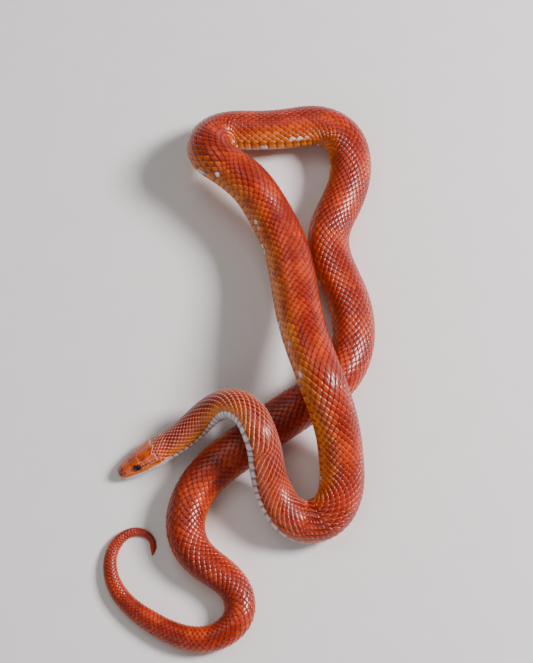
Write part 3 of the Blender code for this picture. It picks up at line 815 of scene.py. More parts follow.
class Tree:
    """Node tree that is filled through one method."""

    def __init__(self, nodes: bpy.types.NodeTree) -> None:
        """Wraps a Blender node tree."""
        self.nodes = nodes

    @staticmethod
    def pick(sockets: Any, key: int | str) -> bpy.types.NodeSocket:
        """Socket by place, or by name among those in use.

        Args:
            sockets: inputs or outputs of a node.
            key: place or name.

        Returns:
            The socket.
        """
        if isinstance(key, int):
            return sockets[key]
        return next(socket for socket in sockets if socket.name == key and socket.enabled)

    def connect(self, target: bpy.types.NodeSocket, value: Any) -> None:
        """Links a value to a socket, or sets the socket's own value.

        Args:
            target: the socket.
            value: a link, or a plain value.
        """
        if isinstance(value, Link):
            self.nodes.links.new(value.socket, target)
        else:
            target.default_value = value

    def node(
        self,
        kind: str,
        settings: dict[str, Any] | None = None,
        sockets: dict[int | str, Any] | None = None,
        output: int | str | None = None,
    ) -> Link:
        """Adds a node.

        Args:
            kind: the node's type.
            settings: its own properties, set first; "stops" fills a colour ramp.
            sockets: values or links of its inputs, by place or name.
            output: the output to return, or None for the first in use.

        Returns:
            The chosen output.
        """
        made = self.nodes.nodes.new(kind)
        for name, value in (settings or {}).items():
            if name == "stops":
                ramp = made.color_ramp
                while len(ramp.elements) < len(value):
                    ramp.elements.new(0.5)
                for element, (place, colour) in zip(ramp.elements, value):
                    element.position = place
                    element.color = colour
            else:
                setattr(made, name, value)
        for key, value in (sockets or {}).items():
            self.connect(self.pick(made.inputs, key), value)
        if output is None:
            chosen = next((socket for socket in made.outputs if socket.enabled), None)
        else:
            chosen = self.pick(made.outputs, output)
        return Link(self, chosen)

    def mix(self, share: Any, first: Any, second: Any, blend: str = "MIX") -> Link:
        """Mix of two colours."""
        settings = {"data_type": "RGBA", "blend_type": blend}
        return self.node("ShaderNodeMix", settings, {0: share, 6: first, 7: second}, 2)

    def toned(self, colour: Link, tone: Link, dark: tuple, bright: tuple) -> Link:
        """Colour times a factor that runs from dark at tone 0 to bright at tone 1."""
        darker, brighter = (self.mix(1.0, colour, factor, "MULTIPLY") for factor in (dark, bright))
        return self.mix(tone, darker, brighter)

    def vector(self, x: Any, y: Any, z: Any = 0.0) -> Link:
        """Vector of three values."""
        return self.node("ShaderNodeCombineXYZ", None, {0: x, 1: y, 2: z})

    def noise(self, vector: Link, scale: float, detail: float = 2.0) -> Link:
        """Noise about one half."""
        sockets = {"Vector": vector, "Scale": scale, "Detail": detail}
        return self.node("ShaderNodeTexNoise", None, sockets, "Fac")

    def named(self, name: str, kind: str = "FLOAT_VECTOR") -> Link:
        """Attribute of the mesh in Geometry Nodes."""
        return self.node("GeometryNodeInputNamedAttribute", {"data_type": kind}, {"Name": name})

    def attribute(self, name: str, output: str) -> Link:
        """Attribute of the mesh in a material."""
        return self.node("ShaderNodeAttribute", {"attribute_name": name}, None, output)

    def parts(self, vector: Link) -> tuple[Link, Link, Link]:
        """The three values of a vector."""
        node = self.node("ShaderNodeSeparateXYZ", None, {0: vector}).socket.node
        return Link(self, node.outputs[0]), Link(self, node.outputs[1]), Link(self, node.outputs[2])


@dataclass(frozen=True)
class Gloss:
    """How a surface shines.

    Attributes:
        roughness: roughness of the surface itself.
        coat: weight of the clear coat.
        coat_roughness: roughness of the clear coat.
        specular: strength of the plain reflection.
    """

    roughness: float
    coat: float
    coat_roughness: float
    specular: float = 0.5


def new_material(name: str, gloss: Gloss) -> tuple[bpy.types.Material, Tree]:
    """Material with a Principled shader whose even values are set.

    Args:
        name: name of the material.
        gloss: how it shines.

    Returns:
        The material and its tree.
    """
    material = bpy.data.materials.new(name)
    material.use_nodes = True
    shader = material.node_tree.nodes["Principled BSDF"]
    shader.inputs["Roughness"].default_value = gloss.roughness
    shader.inputs["Coat Weight"].default_value = gloss.coat
    shader.inputs["Coat Roughness"].default_value = gloss.coat_roughness
    shader.inputs["Specular IOR Level"].default_value = gloss.specular
    return material, Tree(material.node_tree)


def finish_material(tree: Tree, colour: Link, rough: Link | None = None, bump: Link | None = None,
                    depth: float = 0.0001) -> None:
    """Joins the colour, the roughness and the relief to the shader of a material.

    Args:
        tree: tree of the material.
        colour: base colour.
        rough: roughness, or None for the even one.
        bump: height of the relief, or None.
        depth: depth of the relief in metres.
    """
    shader = tree.nodes.nodes["Principled BSDF"]
    tree.connect(shader.inputs["Base Color"], colour)
    if rough is not None:
        tree.connect(shader.inputs["Roughness"], rough)
    if bump is not None:
        relief = tree.node("ShaderNodeBump", None, {"Height": bump, "Distance": depth, "Strength": 1.0})
        tree.connect(shader.inputs["Normal"], relief)


# How strongly amber shows on the flank, by share of the length
AMBER_SHARES = (
    *((0.0, 0.75), (0.085, 0.85), (0.11, 0.15), (0.15, 0.15)),
    *((0.185, 0.9), (0.31, 0.95), (0.36, 0.6), (1.0, 0.6)),
)


@dataclass(frozen=True)
class Markings:
    """Colours and places of the markings, the same on skin, scales, scutes and plates."""

    rust: tuple = srgb(148, 30, 1)
    orange: tuple = srgb(192, 60, 1)
    saddle: tuple = srgb(112, 11, 1)
    amber: tuple = srgb(226, 124, 5)
    white: tuple = srgb(222, 220, 224)
    belly_orange: tuple = srgb(216, 116, 10)
    head_top: tuple = srgb(210, 86, 6)
    head_dark: tuple = srgb(140, 22, 2)
    lip: tuple = srgb(228, 118, 16)
    pitch: float = 26.0
    half_width_deg: float = 66.0
    belly_from_deg: float = 113.0

    def start(self, name: str, gloss: Gloss) -> tuple[bpy.types.Material, Tree, Link, Link, Link]:
        """New material that shows the markings.

        Args:
            name: name of the material.
            gloss: how it shines.

        Returns:
            The material, its tree, distance from the snout, degrees from the back and colour.
        """
        material, tree = new_material(name, gloss)
        lie = tree.attribute("lie", "Vector")
        along, signed, _ = tree.parts(lie)
        return material, tree, along, signed, self.paint(tree, lie)

    def paint(self, tree: Tree, lie: Link) -> Link:
        """Colour at a place of the animal.

        Args:
            tree: tree of the material.
            lie: distance from the snout in millimetres and signed degrees from the back.

        Returns:
            The colour.
        """
        along, signed, _ = tree.parts(lie)
        turn = signed.size()
        place = tree.vector(along / 24.0, signed / 36.0)
        broad = tree.noise(place, 1.0, 2.0)
        fine = tree.noise(place, 5.0, 2.0)
        ground = tree.mix(broad.step(0.40, 0.66) * 0.75, self.rust, self.orange)
        phase = ((along / self.pitch).fraction() - 0.5).size() / 0.34
        across = turn / self.half_width_deg
        inside = (phase * phase + across * across).root() + (broad - 0.5) * 0.7 + (fine - 0.5) * 0.4
        saddle = 1.0 - inside.step(0.78, 1.06)
        colour = tree.mix(saddle * 0.5, ground, self.saddle)
        shifted = ((along / self.pitch + 0.5).fraction() - 0.5).size() / 0.26
        low = (turn - 88.0) / 17.0
        blotch = 1.0 - ((shifted * shifted + low * low).root() + (fine - 0.5) * 0.6).step(0.7, 1.1)
        stops = tuple((share, (value, value, value, 1.0)) for share, value in AMBER_SHARES)
        amber_share = tree.node("ShaderNodeValToRGB", {"stops": stops}, {0: along / 970.0})
        flank = (turn + (broad - 0.5) * 46.0 + (fine - 0.5) * 18.0).step(56.0, 108.0) * amber_share
        colour = tree.mix(flank, colour, self.amber)
        colour = tree.mix(blotch * 0.42, colour, self.rust)
        spots = tree.noise(tree.vector(along / 7.0, signed / 22.0, 4.0), 1.0, 1.0).step(0.62, 0.65)
        front = 1.0 - along.step(158.0, 176.0)
        belly = tree.mix(front.most(spots), self.belly_orange, self.white)
        edge = self.belly_from_deg + (fine - 0.5) * 14.0
        under = (turn - edge).step(-1.5, 1.5)
        fleck = spots * (turn - 97.0 + (fine - 0.5) * 16.0).step(0.0, 6.0) * along.step(215.0, 235.0)
        colour = tree.mix(under.most(fleck), colour, belly)
        head = self.paint_head(tree, along, turn, fine)
        return tree.mix(1.0 - along.step(22.0, 31.0), colour, head)

    def paint_head(self, tree: Tree, along: Link, turn: Link, fine: Link) -> Link:
        """Colour at a place of the head.

        Args:
            tree: tree of the material.
            along: distance from the snout in millimetres.
            turn: degrees from the crown.
            fine: fine noise.

        Returns:
            The colour.
        """
        mottle = tree.noise(tree.vector(along / 3.4, turn / 26.0, 9.0), 1.0, 3.0)
        top = tree.mix(mottle.step(0.42, 0.68) * 0.75, self.head_top, self.head_dark)
        snout = 1.0 - along.step(1.5, 6.0)
        top = tree.mix(snout * 0.6, top, self.head_dark)
        cheek = (turn + (fine - 0.5) * 16.0).step(74.0, 92.0)
        colour = tree.mix(cheek * 0.8, top, self.lip)
        streak = 1.0 - ((turn - 78.0 - (along - 12.0) * 0.9) / 7.0).size().step(0.5, 1.2)
        colour = tree.mix(streak * along.step(12.0, 13.5) * 0.75, colour, self.head_dark)
        pale_from = 106.0 - along.step(13.0, 17.0) * 6.0
        return tree.mix((turn + (fine - 0.5) * 6.0 - pale_from).step(-3.0, 3.0), colour, self.white)


@dataclass(frozen=True)
class SkinFinish:
    """Skin that shows as fine lines between the scales and the plates."""

    markings: Markings
    pale: tuple = srgb(226, 168, 150)
    deep: tuple = srgb(84, 26, 14)
    gloss: Gloss = Gloss(0.55, 0.0, 0.3, 0.3)

    def material(self) -> bpy.types.Material:
        """Material of the skin.

        Returns:
            The material, named skin.
        """
        material, tree, along, signed, colour = self.markings.start("skin", self.gloss)
        neck = 1.0 - along.step(150.0, 240.0)
        deep = tree.mix(0.62, colour, self.deep)
        pale = tree.mix(0.55, colour, self.pale)
        colour = tree.mix(neck, deep, pale)
        # Painted shade in the mouth's line, the eye sockets and the nostrils
        gap = tree.attribute("gap", "Fac")
        colour = tree.mix(gap, colour, self.deep)
        grain = tree.noise(tree.vector(along * 2.2, signed / 3.0), 1.0, 3.0)
        finish_material(tree, colour, None, grain, 0.00008)
        return material


@dataclass(frozen=True)
class ScaleFinish:
    """Satin scale with a darker heart, a lighter rim that is partly the scale's own edge and partly
    painted highlight, a root and outline darkened by painted shade, and its own tone.
    """

    markings: Markings
    # Pale rim colours: partly the scales' own lighter edges, partly painted highlight
    rim: tuple = srgb(214, 92, 24)
    neck_rim_and_highlight: tuple = srgb(240, 158, 126)
    # Dark of the root under the neighbour's tip and of the outline behind the neck: painted shade
    edge: tuple = srgb(50, 4, 1)
    neck_heart: tuple = srgb(104, 8, 2)
    dark: tuple = (0.82, 0.74, 0.70, 1.0)
    bright: tuple = (1.14, 1.14, 1.10, 1.0)
    gloss: Gloss = Gloss(0.36, 0.5, 0.16, 0.2)

    def material(self) -> bpy.types.Material:
        """Material of the scales.

        Returns:
            The material, named scales.
        """
        material, tree, along, signed, colour = self.markings.start("scales", self.gloss)
        x, y, _ = tree.parts(tree.attribute("leaf", "Vector"))
        tone = tree.attribute("tone", "Fac")
        colour = tree.toned(colour, tone, self.dark, self.bright)
        side = y.size()
        # Where on each scale the pale rim, partly painted highlight, goes
        rim = side.step(0.55, 0.92).most(x.step(0.5, 0.98))
        neck = 1.0 - along.step(95.0, 215.0)
        upper = 1.0 - signed.size().step(112.0, 120.0)
        heart = (1.0 - side.step(0.25, 0.8)) * (1.0 - x.size().step(0.3, 0.9)) * neck
        colour = tree.mix(heart * 0.6 * (1.0 - signed.size().step(62.0, 92.0)), colour, self.neck_heart)
        # Pale rim, partly painted highlight, strongest on the neck and kept off the belly
        pale = tree.mix(neck, self.rim, self.neck_rim_and_highlight)
        colour = tree.mix(rim * (neck * 0.5 + 0.16) * upper, colour, pale)
        # Painted shade: dark outline along the sides and tip of each scale behind the neck, kept off the
        # belly
        seam = side.step(0.72, 0.97).most(x.step(0.80, 1.0)) * (1.0 - neck)
        colour = tree.mix(seam * 0.62 * upper, colour, self.edge)
        # Painted shade over the root, where the neighbour's tip lies over it
        colour = tree.mix((1.0 - x.step(-0.65, 0.0)) * 0.6, colour, self.edge)
        stria = tree.noise(tree.vector(x * 1.5, y * 9.0, tone * 40.0), 1.0, 2.0)
        rough = stria * 0.22 + 0.27
        finish_material(tree, colour, rough, stria, 0.00005)
        return material


@dataclass(frozen=True)
class PlateFinish:
    """Smooth plates of the head and the lips, glossy, with pale rims."""

    markings: Markings
    rim: tuple = srgb(244, 204, 184)
    dark: tuple = (0.84, 0.78, 0.74, 1.0)
    bright: tuple = (1.14, 1.12, 1.08, 1.0)
    gloss: Gloss = Gloss(0.34, 0.4, 0.16, 0.25)

    def material(self) -> bpy.types.Material:
        """Material of the plates.

        Returns:
            The material, named head_plates.
        """
        material, tree, along, signed, colour = self.markings.start("head_plates", self.gloss)
        inward, tone, _ = tree.parts(tree.attribute("leaf", "Vector"))
        colour = tree.toned(colour, tone, self.dark, self.bright)
        rim = 1.0 - inward.step(0.05, 0.34)
        colour = tree.mix(rim * 0.68, colour, self.rim)
        grain = tree.noise(tree.vector(along * 1.4, signed / 5.0, 2.0), 1.0, 3.0)
        finish_material(tree, colour, grain * 0.2 + 0.26, grain, 0.00004)
        return material


@dataclass(frozen=True)
class EyeFinish:
    """Dark glossy eye: black pupil, narrow dark red iris."""

    pupil: tuple = srgb(3, 2, 3)
    iris: tuple = srgb(66, 14, 6)
    iris_light: tuple = srgb(112, 34, 12)
    rim: tuple = srgb(16, 5, 4)
    gloss: Gloss = Gloss(0.12, 0.4, 0.03, 0.3)

    def material(self) -> bpy.types.Material:
        """Material of the eyes.

        Returns:
            The material, named eyes.
        """
        material, tree = new_material("eyes", self.gloss)
        radius, angle, _ = tree.parts(tree.attribute("gaze", "Vector"))
        ray = tree.noise(tree.vector(angle * 14.0, radius * 3.0), 1.0, 2.0)
        iris = tree.mix(ray.step(0.35, 0.65), self.iris, self.iris_light)
        colour = tree.mix(radius.step(0.58, 0.63), self.pupil, iris)
        colour = tree.mix(radius.step(0.74, 0.86), colour, self.rim)
        finish_material(tree, colour)
        return material


@dataclass
class Skin:
    """One skin from the snout to the tip of the tail.

    Attributes:
        hide: surface that it follows.
        around: points round each ring.
        body_step: distance between rings of the body.
        head_step: distance between rings of the head.
        body_depth: how far it lies under the surface of the body.
        head_depth: how far it lies under the surface of the head.
        gap_depth: how far the mouth's line, the eye sockets and the nostrils are sunk.
        spine_step: distance between rings of the tail's spine.
        strips: strips of the bake map.
    """

    hide: Hide
    around: int = 72
    body_step: float = 1.9
    head_step: float = 0.45
    body_depth: float = 0.42
    head_depth: float = 0.04
    gap_depth: float = 0.35
    spine_step: float = 0.5
    strips: int = 4

    def depth(self, distance: Array) -> Array:
        """Depth of the skin under the surface at distances from the snout.

        Args:
            distance: distance from the tip of the snout.

        Returns:
            Depth in millimetres.
        """
        body = self.body_depth * np.minimum(1.0, self.hide.route.girth(distance) / 7.0)
        share = ease((distance - 14.0) / 16.0)
        return self.head_depth * (1.0 - share) + body * share

    def gap(self, distance: Array, degrees: Array) -> Array:
        """How deep the mouth's line, the eye sockets and the nostrils are sunk, and how much painted
        shade the skin takes there, from 0 to 1.

        Args:
            distance: distance from the tip of the snout.
            degrees: signed angle from the crown.

        Returns:
            0 on plain skin, 1 in a gap.
        """
        local = self.hide.head_local(distance, degrees, np.zeros_like(distance))
        mouth = (np.abs(degrees) - self.hide.mouth_degrees(np.minimum(distance, MOUTH_END))) * 0.13
        line = np.exp(-((mouth / 0.3) ** 2)) * (distance < MOUTH_END - 0.2)
        eye = np.hypot(local[..., 0] - EYE_AT, local[..., 2] - EYE_HEIGHT)
        eye = (eye < EYE_RADIUS + 0.5) & (np.abs(local[..., 1]) > 3.0)
        nostril = np.hypot(local[..., 0] - NOSTRIL_AT, local[..., 2] - NOSTRIL_HEIGHT)
        nostril = np.exp(-((nostril / 0.5) ** 2)) * (np.abs(local[..., 1]) > 2.0)
        return np.clip(line + eye + nostril, 0.0, 1.0) * (distance < MOUTH_END)

    def grid(self, chart: Unwrap) -> tuple[Array, Array]:
        """Distances and degrees of the skin's points, with a ring at each cut of its chart.

        Args:
            chart: chart of the skin.

        Returns:
            Distance and signed degrees of each point, by ring and by place round it.
        """
        length = self.hide.route.length
        head = np.arange(0.06, HEAD_LENGTH, self.head_step)
        cuts = np.linspace(chart.start, chart.end, self.strips + 1)[1:-1]
        tail = length - TAIL_SPINE
        body = np.linspace(HEAD_LENGTH, tail, int((tail - HEAD_LENGTH) / self.body_step))
        spine = np.arange(tail, length - 0.1, self.spine_step)
        distances = np.unique(np.concatenate([[0.0, 0.02], head, body, spine, cuts]))
        turns = np.linspace(-1.0, 1.0, self.around, endpoint=False)
        degrees = self.hide.degrees_at(turns * self.hide.arc[-1])
        return tuple(np.meshgrid(distances, degrees, indexing="ij"))

    @staticmethod
    def faces(rows: int, around: int) -> list:
        """Faces of the closed skin: quads between its rings and a fan at each end.

        Args:
            rows: number of rings.
            around: points of a ring.

        Returns:
            Vertices of each face.
        """
        tip = rows * around
        last = (rows - 1) * around
        front = [(tip, (k + 1) % around, k) for k in range(around)]
        rear = [(tip + 1, last + k, last + (k + 1) % around) for k in range(around)]
        return grid_faces(rows, around) + front + rear

    def write_chart(self, mesh: bpy.types.Mesh, chart: Unwrap, along: Array, turn: Array) -> None:
        """Writes the bake map, with each face in one strip and on one side of the belly's seam.

        Args:
            mesh: mesh of the skin.
            chart: its chart.
            along: distance of each vertex.
            turn: way round of each vertex, in half turns.
        """
        corner = corner_vertices(mesh)
        starts = np.zeros(len(mesh.polygons), np.int32)
        totals = np.zeros(len(mesh.polygons), np.int32)
        mesh.polygons.foreach_get("loop_start", starts)
        mesh.polygons.foreach_get("loop_total", totals)
        face = np.repeat(np.arange(len(starts)), totals)
        corner_turn = turn[corner]
        highest = np.maximum.reduceat(corner_turn, starts)[face]
        corner_turn = np.where((highest - corner_turn) > 1.0, corner_turn + 2.0, corner_turn)
        middle = np.add.reduceat(along[corner], starts) / totals
        write_map(mesh, chart.chart(along[corner], corner_turn, chart.strip(middle)[face]))

    def build(self) -> bpy.types.Mesh:
        """Mesh of the skin with its chart and its places.

        Returns:
            The mesh, closed at the snout and the tail.
        """
        hide = self.hide
        chart = Unwrap(-0.5, hide.route.length + 0.5, self.strips, margin=0.008)
        at, degrees = self.grid(chart)
        rows, around = at.shape
        pit = self.gap(at, degrees)
        out = -self.depth(at) - pit * self.gap_depth - hide.slimming(at)
        out = np.maximum(out, -0.96 * hide.route.girth(at))
        points = hide.point(at, degrees, out)
        snout = 0.5 * (hide.point(0.0, 0.0, 0.0) + hide.point(0.0, HALF_TURN, 0.0))
        vertices = np.concatenate([points.reshape(-1, 3), snout[None], hide.route.points[-1][None]])
        mesh = mesh_from(vertices, self.faces(rows, around), "skin")
        lie = side_by_side(at, degrees, 0.0).reshape(-1, 3)
        lie = np.concatenate([lie, [[0.0, 0.0, 0.0], [hide.route.length, 0.0, 0.0]]])
        write_attribute(mesh, "lie", lie)
        # Amount of painted shade in the mouth's line, the eye sockets and the nostrils
        write_attribute(mesh, "gap", np.concatenate([pit.ravel(), [0.0, 0.0]]))
        turns = np.tile(np.linspace(-1.0, 1.0, self.around, endpoint=False), rows)
        self.write_chart(mesh, chart, lie[:, 0], np.concatenate([turns, [0.0, 0.0]]))
        return mesh


@dataclass
class BellyScutes:
    """Broad plates under the body, single to the vent and paired under the tail.

    Attributes:
        hide: surface that they lie on.
        edge_deg: angle from the back at which they end.
        across: faces across a scute.
        strips: strips of the bake map.
        first: distance at which the first one begins.
        stations: share of the pitch and height of each row of points, front to rear.
        sink: how far a whole scute is let into the body.
        side_drop: how far its two ends dip under the flank scales.
        side_sweep: share of the pitch by which its ends are drawn forward.
        split: half the gap between the paired scutes, in half turns.
        full_girth: half width of the body from which a scute has its full height.
        spine_rings: rings of points of the spine at the tail's tip.
        spine_around: points round the spine, the first one repeated.
    """

    hide: Hide
    edge_deg: float = 112.0
    across: int = 14
    strips: int = 7
    first: float = 27.0
    stations: tuple = (
        *((-0.22, -0.12), (0.08, 0.12), (0.45, 0.17)),
        *((0.8, 0.20), (1.04, 0.18), (1.06, 0.02)),
    )
    sink: float = 0.26
    side_drop: float = 0.25
    side_sweep: float = 0.22
    split: float = 0.004
    full_girth: float = 8.0
    spine_rings: int = 9
    spine_around: int = 17

    def edges(self) -> Array:
        """Distances at which the scutes begin, from the throat to the tail's tip.

        Returns:
            Rising distances from the tip of the snout.
        """
        at = [self.first]
        while at[-1] < self.hide.route.length - TAIL_SPINE - 1.0:
            at.append(at[-1] + scale_pitch(self.hide, at[-1]))
        return np.array(at)

    def limits(self) -> tuple[float, float]:
        """Way round, in half turns, at which a scute starts and ends."""
        return self.edge_deg / HALF_TURN, 2.0 - self.edge_deg / HALF_TURN

    def chart(self) -> Unwrap:
        """Chart of the whole underside."""
        return Unwrap(self.first - 1.0, self.hide.route.length + 1.0, self.strips, *self.limits(), 0.03)

    def scute(
        self, number: int, span: tuple[float, float], arc: tuple[float, float], steps: int
    ) -> Sheet:
        """One scute, or one of a pair.

        Args:
            number: its place from the throat.
            span: distances at which it begins and the next one begins.
            arc: way round at which it starts and ends, in half turns.
            steps: faces across it.

        Returns:
            Its points with their places and values.
        """
        chart = self.chart()
        front, pitch = span[0], span[1] - span[0]
        slim = min(1.0, float(self.hide.route.girth(front)) / self.full_girth)
        shares, rises = np.array(self.stations).T
        a, b = np.meshgrid(shares, np.linspace(*arc, steps + 1), indexing="ij")
        _, edge = np.meshgrid(shares, np.abs(np.linspace(-1.0, 1.0, steps + 1)), indexing="ij")
        height = np.repeat(rises[:, None], steps + 1, axis=1) * slim
        height = np.where(edge > 0.999, -self.side_drop * slim, height) - self.sink * slim
        along = front + pitch * (a - self.side_sweep * edge**8 * (a > 0.3))
        signed = np.where(b > 1.0, (b - 2.0) * HALF_TURN, b * HALF_TURN)
        middle = front + 0.5 * pitch
        kept = middle + pitch * (np.clip(a, 0.0, 1.0) - 0.5) * 0.94
        return Sheet(
            self.hide.point(along, signed, height),
            side_by_side(middle, signed, 0.0),
            side_by_side(a * 2.0 - 1.0, edge, scattered(number, SCUTE_SCATTER)),
            chart.chart(kept, b, chart.strip(middle)),
        )

    def spine(self) -> Sheet:
        """Cone at the end of the tail.

        Returns:
            Its points with their places and values.
        """
        chart = self.chart()
        low, high = self.limits()
        length = self.hide.route.length
        tip = np.linspace(length - TAIL_SPINE, length, self.spine_rings)
        turn = np.linspace(-HALF_TURN, HALF_TURN, self.spine_around)
        a, b = np.meshgrid(tip, turn, indexing="ij")
        around = low + (high - low) * (b + HALF_TURN) / (2.0 * HALF_TURN)
        return Sheet(
            self.hide.point(a, b, 0.06 - 0.99 * self.hide.slimming(a)),
            side_by_side(a, b, 0.0),
            side_by_side(a * 0.0, 0.2, 0.5),
            chart.chart(a, around, chart.strip(length)),
        )

    def build(self) -> bpy.types.Mesh:
        """Mesh of every scute, each with its patch in the bake map.

        Returns:
            The mesh.
        """
        low, high = self.limits()
        edges = self.edges()
        sheets = []
        for number, span in enumerate(zip(edges, edges[1:])):
            if span[0] < VENT:
                sheets.append(self.scute(number, span, (low, high), self.across))
                continue
            for arc in ((low, 1.0 - self.split), (1.0 + self.split, high)):
                sheets.append(self.scute(number, span, arc, self.across // 2))
        sheets.append(self.spine())
        vertices, faces = [], []
        for sheet in sheets:
            rows, columns = sheet.points.shape[:2]
            faces.extend(grid_faces(rows, columns, len(vertices), closed=False))
            vertices.extend(sheet.points.reshape(-1, 3))
        leaf = np.concatenate([sheet.leaf.reshape(-1, 3) for sheet in sheets])
        places = np.concatenate([sheet.places.reshape(-1, 2) for sheet in sheets])
        mesh = mesh_from(np.array(vertices), faces, "belly_scutes")
        write_attribute(mesh, "lie", np.concatenate([sheet.lie.reshape(-1, 3) for sheet in sheets]))
        write_attribute(mesh, "leaf", leaf)
        write_attribute(mesh, "tone", leaf[:, 2])
        write_map(mesh, places[corner_vertices(mesh)])
        orient(mesh, self.hide)
        return mesh


def orient(mesh: bpy.types.Mesh, hide: Hide) -> None:
    """Flips every face of a mesh if they point into the body on the whole.

    Args:
        mesh: mesh that lies along the body.
        hide: surface of the animal.
    """
    normals = np.zeros(len(mesh.polygons) * 3)
    centres = np.zeros(len(mesh.polygons) * 3)
    mesh.polygons.foreach_get("normal", normals)
    mesh.polygons.foreach_get("center", centres)
    centres = centres.reshape(-1, 3) / MM
    axis = hide.route.points[::6]
    nearest = np.array([np.argmin(np.sum((axis - centre) ** 2, axis=1)) for centre in centres[::40]])
    outward = centres[::40] - axis[nearest]
    if np.sum(outward * normals.reshape(-1, 3)[::40]) < 0.0:
        mesh.flip_normals()


def scale_pitch(hide: Hide, distance: Array | float) -> Array | float:
    """Distance between neighbouring scales of a row, and between belly scutes."""
    return 0.9 + 0.285 * hide.route.girth(distance)


@dataclass(frozen=True)
class Coat:
    """A length of the scale coat.

    Attributes:
        name: name of the piece.
        start: distance at which it starts.
        end: distance at which it ends.
        strips: strips of its bake map.
    """

    name: str
    start: float
    end: float
    strips: int


